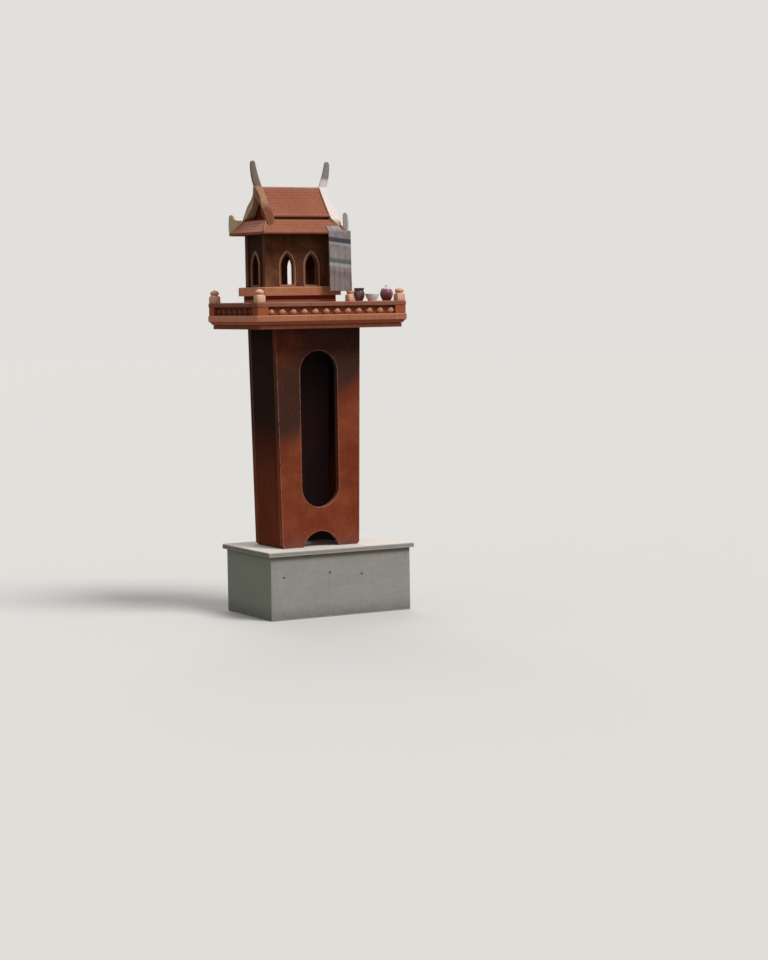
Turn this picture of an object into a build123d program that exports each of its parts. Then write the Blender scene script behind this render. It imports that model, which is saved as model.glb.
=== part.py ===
from build123d import *
import math
import os

# Spirit house of painted concrete castings on a rendered plinth.
# Millimetres. X runs along the ridge with the doorway end at +X, Y across it, Z up from the ground.
# The origin is on the ground, on the axis of the pedestal.

# Plinth
plinth_length = 922
plinth_depth = 590
plinth_height = 372
plinth_offset = 70
cap_overhang = 20
cap_thickness = 28
edge_chamfer = 5

# Pedestal of four panels, a little narrower at its foot
pedestal_height = 1278
pedestal_top_length = 556
pedestal_foot_length = 504
pedestal_depth = 360
panel_thickness = 36
slot_width = 244
slot_sill = 231
slot_head = 130
foot_arch_width = 232
foot_arch_rise = 92
foot_rounding = 22

# Platform in courses, from the bottom up
platform_offset = 24
slab_length = 978
slab_depth = 664
slab_thickness = 56
slab_cove = 20
course_taper = 38
course_inset = 22
course_thickness = 24
neck_inset = 30
neck_height = 48
block_size = 70
block_inset = 5
deck_inset = 2
deck_thickness = 26

# Lotus petals round the neck and the posts on the deck's corners
petal_width = 44
petal_height = 38
petal_pitch = 71
petal_shares = (0.62, 1, 0.86, 0.3)
petal_sides = 8
post_size = 54
post_shaft = 40
post_bud = 36
post_bud_shares = (0.86, 1, 0.94, 0.7, 0.24)
post_bud_sides = 12
post_inset = 3

# House, standing towards the rear end of the deck
house_offset = -88
base_length = 500
base_depth = 350
base_thickness = 51
house_foot_inset = 24
house_foot_height = 37
body_end_inset = 27
body_side_inset = 44
wall_thickness = 20
wall_height = 340
pilaster_size = 34
wall_setback = 6

# Openings of the house
window_width = 76
window_height = 174
window_sill = 14
window_spacing = 158
door_width = 104
door_height = 236
lancet_spring = 0.55
frame_width = 17
frame_peak = 24
frame_thickness = 8

# Lower tier of the roof
skirt_end_overhang = 50
skirt_side_overhang = 97
hip_end_run = 60
hip_side_run = 91
skirt_fascia = 14
skirt_drop = 38
skirt_rise = 86
skirt_lip = 14
wall_clearance = 1

# Upper tier of the roof
roof_offset = 16
roof_end_inset = 28
roof_rise = 168
roof_thickness = 20
eave_thickness = 24
roof_sag = 6
ridge_width = 22
ridge_cap_height = 14
ridge_rounding = 8.8
tier_gap = 12
tier_end_inset = 30
tier_side_inset = 18
gable_thickness = 14
gable_inset = 6

# Bargeboards, horns and finials
board_thickness = 52
board_drop = 26
board_sag = 4
board_foot = 14
tail_reach = 53
tail_drop = 45
tail_tip = 20
tail_start = 18
tail_lift = 3
horn_foot = 52
horn_height = 150
horn_lean = 22
horn_belly = 17.6
horn_hollow = 3
horn_tip = 34
horn_thickness = 18
finial_rise = 111
finial_belly = 3
finial_width = 32
finial_toe = 42
finial_heel = 10
finial_thickness = 16

# Hung cloth
cloth_width = 150
cloth_drop = 420
cloth_thickness = 6
cloth_past_corner = 16
cloth_free = 56
cloth_hold = 0.4
soft_clearance = 0.3

# Things that stand on the terrace, set out from the deck's doorway end and near edge
vessel_sides = 18
pot_diameter = 66
pot_height = 76
pot_shares = (0.64, 0.92, 1, 0.8, 0.88)
pot_from_end = 249
pot_from_edge = 122
dish_diameter = 84
dish_height = 42
dish_shares = (0.6, 0.68, 0.84, 1)
dish_wall = 6
dish_from_end = 155
dish_from_edge = 134
jar_diameter = 78
jar_height = 92
jar_shares = (0.68, 1, 0.96, 0.68, 0.24)
jar_from_end = 67
jar_from_edge = 118

os.makedirs("parts", exist_ok=True)

# Levels, from the ground up
cap_base = plinth_height
pedestal_base = cap_base + cap_thickness
course_base = pedestal_base + pedestal_height
slab_base = course_base + course_thickness
neck_base = slab_base + slab_thickness
deck_base = neck_base + neck_height
deck_top = deck_base + deck_thickness
base_bottom = deck_top + house_foot_height
floor_level = base_bottom + base_thickness
wall_top = floor_level + wall_height
skirt_eave = wall_top - skirt_drop
fascia_top = skirt_eave + skirt_fascia
skirt_top = skirt_eave + skirt_rise
roof_eave = skirt_top + tier_gap
ridge_level = roof_eave + roof_rise
ridge_top = ridge_level + ridge_cap_height

# Plan sizes that several pieces share
neck_length = slab_length - 2 * neck_inset
neck_depth = slab_depth - 2 * neck_inset
deck_length = slab_length - 2 * deck_inset
deck_depth = slab_depth - 2 * deck_inset
body_length = base_length - 2 * body_end_inset
body_depth = base_depth - 2 * body_side_inset
wall_run = body_length - 2 * pilaster_size
end_run = body_depth - 2 * pilaster_size
wall_face = body_depth / 2 - wall_setback
end_face = body_length / 2 - wall_setback
skirt_length = body_length + 2 * skirt_end_overhang
skirt_depth = body_depth + 2 * skirt_side_overhang
skirt_top_length = skirt_length - 2 * hip_end_run
skirt_top_depth = skirt_depth - 2 * hip_side_run
roof_middle = house_offset + roof_offset
roof_length = skirt_top_length - 2 * roof_end_inset
roof_depth = skirt_top_depth


def slab(name, length, depth, level, thickness, middle):
    """Make and write a plain slab with its upright and upper edges chamfered."""
    with BuildPart() as piece:
        with BuildSketch(Plane.XY.offset(level)):
            with Locations((middle, 0)):
                Rectangle(length, depth)
        extrude(amount=thickness)
        chamfer(piece.edges().filter_by(Axis.Z), edge_chamfer)
        chamfer(piece.faces().sort_by(Axis.Z)[-1].edges(), edge_chamfer)
    piece.part.label = name
    export_step(piece.part, f"parts/{name}.step")


def lancet(width, height):
    """A pointed opening with upright jambs, its sill on the local x axis."""
    half = width / 2
    spring = height * lancet_spring
    with BuildSketch() as outline:
        with BuildLine():
            Polyline((-half, spring), (-half, 0), (half, 0), (half, spring))
            TangentArc((-half, spring), (0, height), tangent=(0, 1))
            TangentArc((half, spring), (0, height), tangent=(0, 1))
        make_face()
    return outline.sketch


def bud(width, height, shares, sides):
    """A faceted bud or vessel: polygons at even heights, each as wide as its share of the width."""
    band = height / (len(shares) - 1)
    with BuildPart() as shape:
        for place, (low, high) in enumerate(zip(shares, shares[1:])):
            # Each band narrows away from the wider of its two polygons
            wide_level = band * place if low > high else band * (place + 1)
            lean = math.atan(abs(low - high) * width / 2 * math.cos(math.pi / sides) / band)
            with BuildSketch(Plane.XY.offset(wide_level)):
                RegularPolygon(width / 2 * max(low, high), sides)
            extrude(amount=band if low > high else -band, taper=math.degrees(lean))
    return shape.part


def hipped(foot, head, foot_level, shoulder, head_level):
    """A hipped block: upright to its shoulder, then sloping in from the foot's plan to the head's."""
    with BuildPart() as block:
        for plane, low, high, across, mode in (
            (Plane.XZ, foot[0], head[0], foot[1], Mode.ADD),
            (Plane.YZ, foot[1], head[1], foot[0], Mode.INTERSECT),
        ):
            with BuildSketch(plane):
                Polygon(
                    (-low / 2, foot_level),
                    (low / 2, foot_level),
                    (low / 2, shoulder),
                    (high / 2, head_level),
                    (-high / 2, head_level),
                    (-low / 2, shoulder),
                    align=None,
                )
            extrude(amount=across / 2, both=True, mode=mode)
    return block.part


def sagged(start, end, sag):
    """Middle point of a slope that sags below the straight line from its top to its eave."""
    run = abs(end[0] - start[0])
    fall = abs(end[1] - start[1])
    normal = Vector(-fall, -run).normalized()
    return (Vector(*start) + Vector(*end)) / 2 + normal * sag


# Plinth: a rendered block under a thin cap slab
with BuildPart() as plinth_body:
    with BuildSketch():
        with Locations((plinth_offset, 0)):
            Rectangle(plinth_length, plinth_depth)
    extrude(amount=plinth_height)
    chamfer(plinth_body.edges().filter_by(Axis.Z), edge_chamfer)
plinth_body.part.label = "plinth_body"
export_step(plinth_body.part, "parts/plinth_body.step")

cap_length = plinth_length + 2 * cap_overhang
cap_depth = plinth_depth + 2 * cap_overhang
slab("plinth_cap", cap_length, cap_depth, cap_base, cap_thickness, plinth_offset)

# Pedestal: two wide panels, the near one with a long slot and an arched foot
with BuildSketch() as foot_arch:
    with BuildLine():
        Line((-foot_arch_width / 2, 0), (foot_arch_width / 2, 0))
        ThreePointArc((-foot_arch_width / 2, 0), (0, foot_arch_rise), (foot_arch_width / 2, 0))
    make_face()

slot_height = pedestal_height - slot_sill - slot_head
for name, outer, is_open in (
    ("pedestal_near_panel", pedestal_depth / 2, True),
    ("pedestal_far_panel", panel_thickness - pedestal_depth / 2, False),
):
    with BuildPart() as wide_panel:
        with BuildSketch(Plane.XZ.offset(outer)) as face:
            with Locations((0, pedestal_base)):
                Polygon(
                    (-pedestal_foot_length / 2, 0),
                    (pedestal_foot_length / 2, 0),
                    (pedestal_top_length / 2, pedestal_height),
                    (-pedestal_top_length / 2, pedestal_height),
                    align=None,
                )
                if is_open:
                    add(foot_arch.sketch, mode=Mode.SUBTRACT)
            toes = face.vertices().group_by(Axis.Y)[0].sort_by(Axis.X)
            fillet([toes[0], toes[-1]], foot_rounding)
            if is_open:
                with Locations((0, pedestal_base + slot_sill + slot_height / 2)):
                    SlotOverall(slot_height, slot_width, rotation=90, mode=Mode.SUBTRACT)
        extrude(amount=-panel_thickness)
    wide_panel.part.label = name
    export_step(wide_panel.part, f"parts/{name}.step")

# Pedestal: two plain panels between the wide ones, leaning out with their edges
for name, side in (("pedestal_rear_panel", -1), ("pedestal_front_panel", 1)):
    with BuildPart() as end_panel:
        with BuildSketch(Plane.XZ):
            Polygon(
                (side * pedestal_foot_length / 2, pedestal_base),
                (side * (pedestal_foot_length / 2 - panel_thickness), pedestal_base),
                (side * (pedestal_top_length / 2 - panel_thickness), course_base),
                (side * pedestal_top_length / 2, course_base),
                align=None,
            )
        extrude(amount=pedestal_depth / 2 - panel_thickness, both=True)
    end_panel.part.label = name
    export_step(end_panel.part, f"parts/{name}.step")

# Platform: a lower course and a slab with a coved underside
course_length = slab_length - 2 * course_inset
course_depth = slab_depth - 2 * course_inset
slab("platform_lower_course", course_length, course_depth, course_base, course_thickness, platform_offset)

with BuildPart() as platform_slab:
    with BuildSketch(Plane.XY.offset(slab_base + slab_cove)):
        with Locations((platform_offset, 0)):
            Rectangle(slab_length, slab_depth)
    extrude(amount=slab_thickness - slab_cove)
    chamfer(platform_slab.edges().filter_by(Axis.Z), edge_chamfer)
    chamfer(platform_slab.faces().sort_by(Axis.Z)[-1].edges(), edge_chamfer)
    with BuildSketch(Plane.XY.offset(slab_base + slab_cove)):
        with Locations((platform_offset, 0)):
            Rectangle(slab_length - 2 * edge_chamfer, slab_depth - 2 * edge_chamfer)
    extrude(amount=-slab_cove, taper=course_taper)
platform_slab.part.label = "platform_slab"
export_step(platform_slab.part, "parts/platform_slab.step")

# Platform: a recessed neck with a block at each corner, and the deck on it
with BuildPart() as platform_neck:
    with BuildSketch(Plane.XY.offset(neck_base)):
        with Locations((platform_offset, 0)):
            Rectangle(neck_length, neck_depth)
            block_run = slab_length - block_size - 2 * block_inset
            block_reach = slab_depth - block_size - 2 * block_inset
            with GridLocations(block_run, block_reach, 2, 2):
                Rectangle(block_size, block_size)
    extrude(amount=neck_height)
platform_neck.part.label = "platform_neck"
export_step(platform_neck.part, "parts/platform_neck.step")

slab("deck", deck_length, deck_depth, deck_base, deck_thickness, platform_offset)

# Lotus petals: half buds against the neck between its corner blocks, standing on the slab
with BuildPart() as petal:
    add(bud(petal_width, petal_height, petal_shares, petal_sides))
    split(bisect_by=Plane.XZ, keep=Keep.TOP)

clear_margin = 2 * (block_size + block_inset)
petal_runs = (
    ("petals_near", slab_length, neck_depth / 2, 0),
    ("petals_front", slab_depth, neck_length / 2, 90),
    ("petals_far", slab_length, neck_depth / 2, 180),
    ("petals_rear", slab_depth, neck_length / 2, 270),
)
for name, run, reach, turn in petal_runs:
    count = 1 + int((run - clear_margin - petal_width) // petal_pitch)
    side = Location((platform_offset, 0, neck_base), (0, 0, turn)) * Location((0, -reach, 0))
    with BuildPart() as course:
        with Locations(side):
            with GridLocations(petal_pitch, 1, count, 1):
                add(petal.part)
    course.part.label = name
    export_step(course.part, f"parts/{name}.step")

# Corner posts: a square shaft under a round bud
with BuildPart() as corner_posts:
    spread_x = deck_length - post_size - 2 * post_inset
    spread_y = deck_depth - post_size - 2 * post_inset
    with BuildSketch(Plane.XY.offset(deck_top)):
        with Locations((platform_offset, 0)):
            with GridLocations(spread_x, spread_y, 2, 2):
                Rectangle(post_size, post_size)
    extrude(amount=post_shaft)
    with Locations((platform_offset, 0, deck_top + post_shaft)):
        with GridLocations(spread_x, spread_y, 2, 2):
            add(bud(post_size, post_bud, post_bud_shares, post_bud_sides))
corner_posts.part.label = "corner_posts"
export_step(corner_posts.part, "parts/corner_posts.step")

# House: a recessed foot and the base slab, whose top is the floor
with BuildPart() as house_foot:
    with BuildSketch(Plane.XY.offset(deck_top)):
        with Locations((house_offset, 0)):
            Rectangle(base_length - 2 * house_foot_inset, base_depth - 2 * house_foot_inset)
    extrude(amount=house_foot_height)
house_foot.part.label = "house_foot"
export_step(house_foot.part, "parts/house_foot.step")

slab("house_base", base_length, base_depth, base_bottom, base_thickness, house_offset)

# House: corner pilasters, with the walls set back between them
with BuildPart() as pilasters:
    with BuildSketch(Plane.XY.offset(floor_level)):
        with Locations((house_offset, 0)):
            with GridLocations(wall_run + pilaster_size, end_run + pilaster_size, 2, 2):
                Rectangle(pilaster_size, pilaster_size)
    extrude(amount=wall_height)
pilasters.part.label = "pilasters"
export_step(pilasters.part, "parts/pilasters.step")

window_hole = lancet(window_width, window_height)
window_outline = lancet(window_width + 2 * frame_width, window_sill + window_height + frame_peak)
door_hole = lancet(door_width, door_height)
door_outline = lancet(door_width + 2 * frame_width, door_height + frame_peak)
window = (window_hole, window_outline, window_sill)
doorway = (door_hole, door_outline, 0)

far_plane = Plane(origin=(0, 0, 0), x_dir=(-1, 0, 0), z_dir=(0, 1, 0))
rear_plane = Plane(origin=(0, 0, 0), x_dir=(0, -1, 0), z_dir=(-1, 0, 0))
wall_sides = (
    ("near", Plane.XZ, wall_run, wall_face, house_offset, window, 2),
    ("far", far_plane, wall_run, wall_face, -house_offset, window, 2),
    ("rear", rear_plane, end_run, end_face - house_offset, 0, window, 1),
    ("front", Plane.YZ, end_run, end_face + house_offset, 0, doorway, 1),
)
for side, plane, run, reach, shift, (hole, outline, sill), count in wall_sides:
    with BuildPart() as wall:
        with BuildSketch(plane.offset(reach)):
            with Locations((shift, floor_level + wall_height / 2)):
                Rectangle(run, wall_height)
            with Locations((shift, floor_level + sill)):
                with GridLocations(window_spacing, 1, count, 1):
                    add(hole, mode=Mode.SUBTRACT)
        extrude(amount=-wall_thickness)
    wall.part.label = f"{side}_wall"
    export_step(wall.part, f"parts/{side}_wall.step")

    with BuildPart() as frame:
        with BuildSketch(plane.offset(reach)):
            with Locations((shift, floor_level)):
                with GridLocations(window_spacing, 1, count, 1):
                    add(outline)
            with Locations((shift, floor_level + sill)):
                with GridLocations(window_spacing, 1, count, 1):
                    add(hole, mode=Mode.SUBTRACT)
        extrude(amount=frame_thickness)
    frame_name = "doorway_frame" if side == "front" else f"{side}_window_frames"
    frame.part.label = frame_name
    export_step(frame.part, f"parts/{frame_name}.step")

# Lower tier: a hipped skirt round the top of the walls, hollow under its slopes
with BuildPart() as skirt_roof:
    with Locations((house_offset, 0)):
        add(hipped(
            (skirt_length, skirt_depth), (skirt_top_length, skirt_top_depth), skirt_eave, fascia_top, skirt_top
        ))
        add(hipped(
            (skirt_length - 2 * skirt_lip, skirt_depth - 2 * skirt_lip),
            (body_length + 2 * wall_clearance, body_depth + 2 * wall_clearance),
            skirt_eave,
            skirt_eave,
            wall_top,
        ), mode=Mode.SUBTRACT)
skirt_roof.part.label = "skirt_roof"
export_step(skirt_roof.part, "parts/skirt_roof.step")

# Recessed band between the tiers
with BuildPart() as tier_band:
    with BuildSketch(Plane.XY.offset(skirt_top)):
        with Locations((roof_middle, 0)):
            Rectangle(skirt_top_length - 2 * tier_end_inset, roof_depth - 2 * tier_side_inset)
    extrude(amount=tier_gap)
tier_band.part.label = "tier_band"
export_step(tier_band.part, "parts/tier_band.step")

# Upper tier: two sagging slopes that meet under the ridge cap
ridge_half = ridge_width / 2
eave_half = roof_depth / 2
soffit_half = eave_half - eave_thickness
soffit_top = ridge_level - roof_thickness
outer_mid = sagged((ridge_half, ridge_level), (eave_half, roof_eave), roof_sag)
inner_mid = sagged((ridge_half, soffit_top), (soffit_half, roof_eave), roof_sag)
for name, side in (("near_roof_slope", -1), ("far_roof_slope", 1)):
    with BuildPart() as slope:
        with BuildSketch(Plane.YZ.offset(roof_middle - roof_length / 2)):
            with BuildLine():
                Polyline((side * ridge_half, soffit_top), (0, soffit_top), (0, ridge_level),
                         (side * ridge_half, ridge_level))
                ThreePointArc(
                    (side * ridge_half, ridge_level), (side * outer_mid.X, outer_mid.Y), (side * eave_half, roof_eave)
                )
                Line((side * eave_half, roof_eave), (side * soffit_half, roof_eave))
                ThreePointArc(
                    (side * soffit_half, roof_eave), (side * inner_mid.X, inner_mid.Y), (side * ridge_half, soffit_top)
                )
            make_face()
        extrude(amount=roof_length)
    slope.part.label = name
    export_step(slope.part, f"parts/{name}.step")

# Gable walls close the two ends of the upper tier
for name, side in (("rear_gable", -1), ("front_gable", 1)):
    with BuildPart() as gable:
        gable_middle = roof_middle + side * (roof_length / 2 - gable_inset - gable_thickness / 2)
        with BuildSketch(Plane.YZ.offset(gable_middle)):
            with BuildLine():
                Line((-soffit_half, roof_eave), (soffit_half, roof_eave))
                ThreePointArc((soffit_half, roof_eave), (inner_mid.X, inner_mid.Y), (ridge_half, soffit_top))
                Line((ridge_half, soffit_top), (-ridge_half, soffit_top))
                ThreePointArc((-ridge_half, soffit_top), (-inner_mid.X, inner_mid.Y), (-soffit_half, roof_eave))
            make_face()
        extrude(amount=gable_thickness / 2, both=True)
    gable.part.label = name
    export_step(gable.part, f"parts/{name}.step")

# Ridge cap: a bead with eased shoulders on the flat of the ridge
with BuildPart() as ridge_cap:
    with BuildSketch(Plane.YZ.offset(roof_middle - roof_length / 2)):
        with Locations((0, ridge_level + ridge_cap_height / 2)):
            bead = Rectangle(ridge_width, ridge_cap_height)
        fillet(bead.vertices().group_by(Axis.Y)[-1], ridge_rounding)
    extrude(amount=roof_length)
ridge_cap.part.label = "ridge_cap"
export_step(ridge_cap.part, "parts/ridge_cap.step")

# Bargeboards: a thick board on each slope's end, with a tail that reaches down over the lower tier
board_heel = eave_half - board_drop
board_crotch = ridge_level - board_drop
tail_end = (eave_half + tail_reach, roof_eave - tail_drop)
tail_slope = skirt_rise - skirt_fascia
tail_sole = [
    (distance, skirt_top - (distance - skirt_top_depth / 2) * tail_slope / hip_side_run + tail_lift)
    for distance in (eave_half + board_foot, tail_end[0] - tail_lift)
]
board_outer_mid = sagged((ridge_half, ridge_top), tail_end, board_sag)
board_inner_mid = sagged((0, board_crotch), (board_heel, roof_eave), board_sag)
for end, along in (("rear", -1), ("front", 1)):
    inner_face = roof_middle + along * roof_length / 2
    outer_face = inner_face + along * board_thickness
    for slope_side, side in (("near", -1), ("far", 1)):
        with BuildPart() as board:
            with BuildSketch(Plane.YZ.offset((inner_face + outer_face) / 2)):
                with BuildLine():
                    Polyline((0, board_crotch), (0, ridge_top), (side * ridge_half, ridge_top))
                    ThreePointArc(
                        (side * ridge_half, ridge_top),
                        (side * board_outer_mid.X, board_outer_mid.Y),
                        (side * tail_end[0], tail_end[1]),
                    )
                    Polyline(
                        (side * tail_end[0], tail_end[1]),
                        (side * tail_sole[1][0], tail_sole[1][1]),
                        (side * tail_sole[0][0], tail_sole[0][1]),
                        (side * (eave_half - tier_side_inset), roof_eave),
                        (side * board_heel, roof_eave),
                    )
                    ThreePointArc(
                        (side * board_heel, roof_eave),
                        (side * board_inner_mid.X, board_inner_mid.Y),
                        (0, board_crotch),
                    )
                make_face()
            extrude(amount=board_thickness / 2, both=True)
            # The tail narrows towards its outer face
            with BuildSketch(Plane.XY.offset(skirt_eave)):
                Polygon(
                    (inner_face, side * (eave_half + tail_start)),
                    (inner_face, side * tail_end[0]),
                    (outer_face - along * tail_tip, side * tail_end[0]),
                    align=None,
                )
            extrude(amount=roof_rise, mode=Mode.SUBTRACT)
        name = f"{end}_{slope_side}_bargeboard"
        board.part.label = name
        export_step(board.part, f"parts/{name}.step")

# Horns: blunt tapering blades seated on the ridge cap and on the tops of the bargeboards
for name, side in (("rear_horn", -1), ("front_horn", 1)):
    heel = roof_middle + side * (roof_length / 2 + board_thickness)
    outer = heel + side * horn_lean
    inner = outer - side * horn_tip
    toe = heel - side * horn_foot
    shoulder = ridge_top + horn_height - horn_tip / 2
    waist = (ridge_top + shoulder) / 2
    with BuildPart() as horn:
        with BuildSketch(Plane.XZ):
            with BuildLine():
                Line((heel, ridge_top), (toe, ridge_top))
                ThreePointArc(
                    (toe, ridge_top), ((toe + inner) / 2 + side * horn_hollow, waist), (inner, shoulder)
                )
                ThreePointArc(
                    (inner, shoulder), ((inner + outer) / 2, ridge_top + horn_height), (outer, shoulder)
                )
                ThreePointArc((outer, shoulder), (heel + side * horn_belly, waist), (heel, ridge_top))
            make_face()
        extrude(amount=horn_thickness / 2, both=True)
    horn.part.label = name
    export_step(horn.part, f"parts/{name}.step")

# Finials: an upright blade with a round head over each corner of the skirt
hip = Vector(hip_end_run, hip_side_run)
crest = skirt_top - fascia_top
finial_shoulder = finial_rise - finial_width / 2
with BuildSketch() as finial_profile:
    with BuildLine():
        Polyline((-finial_heel, 0), (0, 0))
        ThreePointArc((0, 0), (finial_belly, finial_shoulder / 2), (0, finial_shoulder))
        ThreePointArc((0, finial_shoulder), (-finial_width / 2, finial_rise), (-finial_width, finial_shoulder))
        Polyline(
            (-finial_width, finial_shoulder),
            (-finial_width, crest / 2),
            (-finial_toe, crest * finial_toe / hip.length),
            (-finial_heel, 0),
        )
    make_face()
for name, end, sides in (("rear_finial", -1, (1,)), ("front_finials", 1, (-1, 1))):
    with BuildPart() as finials:
        for across in sides:
            corner = Vector(house_offset + end * skirt_length / 2, across * skirt_depth / 2, fascia_top)
            outward = Vector(end * hip.X, across * hip.Y, 0).normalized()
            face_plane = Plane(origin=corner, x_dir=outward, z_dir=outward.cross(Vector(0, 0, 1)))
            with BuildSketch(face_plane):
                add(finial_profile.sketch)
            extrude(amount=finial_thickness / 2, both=True)
        add(skirt_roof.part, mode=Mode.SUBTRACT)
    finials.part.label = name
    export_step(finials.part, f"parts/{name}.step")

# Cloth hung over the near eave beside the doorway, as a plain closed sheet
cloth_end = house_offset + skirt_length / 2 + cloth_past_corner
drop_face = -skirt_depth / 2 - soft_clearance
held_run = hip.Y * cloth_hold
held_rise = crest * cloth_hold
cloth_hem = skirt_top - cloth_drop
with BuildPart() as hung_cloth:
    with BuildSketch(Plane.YZ.offset(cloth_end - cloth_width)):
        with BuildLine():
            inside = Polyline(
                (drop_face, cloth_hem),
                (drop_face, fascia_top + soft_clearance),
                (drop_face + held_run, fascia_top + held_rise + 2 * soft_clearance),
            )
            outside = Polyline(
                (drop_face - cloth_thickness, cloth_hem),
                (drop_face - cloth_thickness, fascia_top + cloth_thickness),
                (drop_face + held_run, fascia_top + held_rise + 2 * cloth_thickness),
            )
            Line(inside @ 0, outside @ 0)
            Line(inside @ 1, outside @ 1)
        make_face()
    extrude(amount=cloth_width - cloth_free)
    with BuildSketch(Plane.YZ.offset(cloth_end - cloth_free)):
        with Locations((drop_face - cloth_thickness, cloth_hem)):
            Rectangle(cloth_thickness, fascia_top - soft_clearance - cloth_hem, align=(Align.MIN, Align.MIN))
    extrude(amount=cloth_free)
hung_cloth.part.label = "hung_cloth"
export_step(hung_cloth.part, "parts/hung_cloth.step")

# Terrace: a brown pot filled to its rim, a white dish and a red jar under a domed lid
pot = bud(pot_diameter, pot_height, pot_shares, vessel_sides)
dish = bud(dish_diameter, dish_height, dish_shares, vessel_sides)
dish_inside = bud(dish_diameter - 2 * dish_wall, dish_height, dish_shares, vessel_sides)
jar = bud(jar_diameter, jar_height, jar_shares, vessel_sides)
vessels = (
    ("incense_pot", pot, pot_from_end, pot_from_edge),
    ("offering_dish", dish, dish_from_end, dish_from_edge),
    ("offering_jar", jar, jar_from_end, jar_from_edge),
)
for name, shape, from_end, from_edge in vessels:
    spot = (platform_offset + deck_length / 2 - from_end, from_edge - deck_depth / 2)
    with BuildPart() as vessel:
        with Locations((*spot, deck_top)):
            add(shape)
        if name == "offering_dish":
            with Locations((*spot, deck_top + dish_wall)):
                add(dish_inside, mode=Mode.SUBTRACT)
    vessel.part.label = name
    export_step(vessel.part, f"parts/{name}.step")
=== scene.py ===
"""Spirit house: painted castings, a tiled roof in two tiers, a hung cloth and three small vessels."""

import logging
import math
from dataclasses import dataclass, field
from enum import Enum
from functools import partial
from typing import Any, Callable, Sequence

import bmesh
import bpy
from mathutils import Matrix, Vector, noise


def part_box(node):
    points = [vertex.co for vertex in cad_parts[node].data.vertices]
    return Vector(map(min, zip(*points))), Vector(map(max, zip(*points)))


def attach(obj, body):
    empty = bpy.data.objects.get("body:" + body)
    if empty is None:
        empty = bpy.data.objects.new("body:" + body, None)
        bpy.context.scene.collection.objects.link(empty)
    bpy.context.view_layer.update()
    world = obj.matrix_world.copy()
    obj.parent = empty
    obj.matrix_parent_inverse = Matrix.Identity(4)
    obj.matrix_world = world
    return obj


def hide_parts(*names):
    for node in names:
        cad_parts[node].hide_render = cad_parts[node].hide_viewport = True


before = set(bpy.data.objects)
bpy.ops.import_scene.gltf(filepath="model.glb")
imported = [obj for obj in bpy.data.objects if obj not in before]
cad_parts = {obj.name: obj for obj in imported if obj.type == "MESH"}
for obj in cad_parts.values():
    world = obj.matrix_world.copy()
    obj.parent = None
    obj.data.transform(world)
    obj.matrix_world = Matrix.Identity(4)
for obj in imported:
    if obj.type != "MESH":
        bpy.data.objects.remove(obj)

for start_up in ("Cube", "Light", "Camera"):
    if start_up in bpy.data.objects:
        bpy.data.objects.remove(bpy.data.objects[start_up])
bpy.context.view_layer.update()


LOG = logging.getLogger("spirit_house")
BODY = "root"
EASED_FROM = math.radians(32)
WELD_REACH = 0.00002

Ring = list[Vector]
Pairs = tuple[tuple[float, float], ...]
Socket = bpy.types.NodeSocket
Value = Any
ALONG, ACROSS, UP = Vector((1, 0, 0)), Vector((0, 1, 0)), Vector((0, 0, 1))


def eased(values: Sequence[float], share: float) -> float:
    """Read a soft curve through evenly spaced values.

    Args:
        values: The values along the curve, first to last.
        share: How far along the curve to read, from 0 to 1.

    Returns:
        The value there, eased between its two neighbours.
    """
    place = min(max(share, 0.0), 1.0) * (len(values) - 1)
    low = min(int(place), len(values) - 2)
    turn = (1 - math.cos(math.pi * (place - low))) / 2
    return values[low] + (values[low + 1] - values[low]) * turn


def arc_points(start: Vector, middle: Vector, end: Vector, count: int) -> Ring:
    """Space points along the circular arc through three points of a plane.

    Args:
        start: First point of the arc.
        middle: A point on the arc.
        end: Last point of the arc.
        count: How many equal steps to take.

    Returns:
        count + 1 points from start to end.
    """
    first, second = middle - start, end - start
    normal = first.cross(second)
    centre = start + (second.length_squared * normal.cross(first) + first.length_squared
                      * second.cross(normal)) / (2 * normal.length_squared)
    arm = start - centre
    swing = 2 * math.asin(min(1.0, second.length / (2 * arm.length)))
    return [centre + Matrix.Rotation(swing * step / count, 3, normal) @ arm for step in range(count + 1)]


def full_turn(count: int, shift: float = 0.0) -> list[float]:
    """List the angles of a full turn in equal steps, the first of them a share of a step on."""
    return [2 * math.pi * (step + shift) / count for step in range(count)]


def rise(level: float) -> Vector:
    """Give the step straight up by a height."""
    return Vector((0, 0, level))


@dataclass(frozen=True)
class Tone:
    """A colour as it looks to the eye, each channel from 0 to 255."""

    red: int
    green: int
    blue: int

    def linear(self) -> tuple[float, float, float, float]:
        """Give the colour as the shaders take it.

        Returns:
            Red, green, blue and full cover, in linear light.
        """
        shares = [channel / 255 for channel in (self.red, self.green, self.blue)]
        bent = [share / 12.92 if share <= 0.04045 else ((share + 0.055) / 1.055) ** 2.4 for share in shares]
        return bent[0], bent[1], bent[2], 1.0


@dataclass(frozen=True)
class Cloud:
    """A cloudy noise in a surface, with values from about 0.2 to 0.8.

    Attributes:
        cells: Its cells per metre.
        layers: How many finer layers it has.
        strength: How strong those are.
        shares: Its scale along each axis, for streaks.
        bend: How far it distorts itself.
    """

    cells: float
    layers: float = 4.0
    strength: float = 0.55
    shares: tuple[float, float, float] | None = None
    bend: float = 0.0


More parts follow.
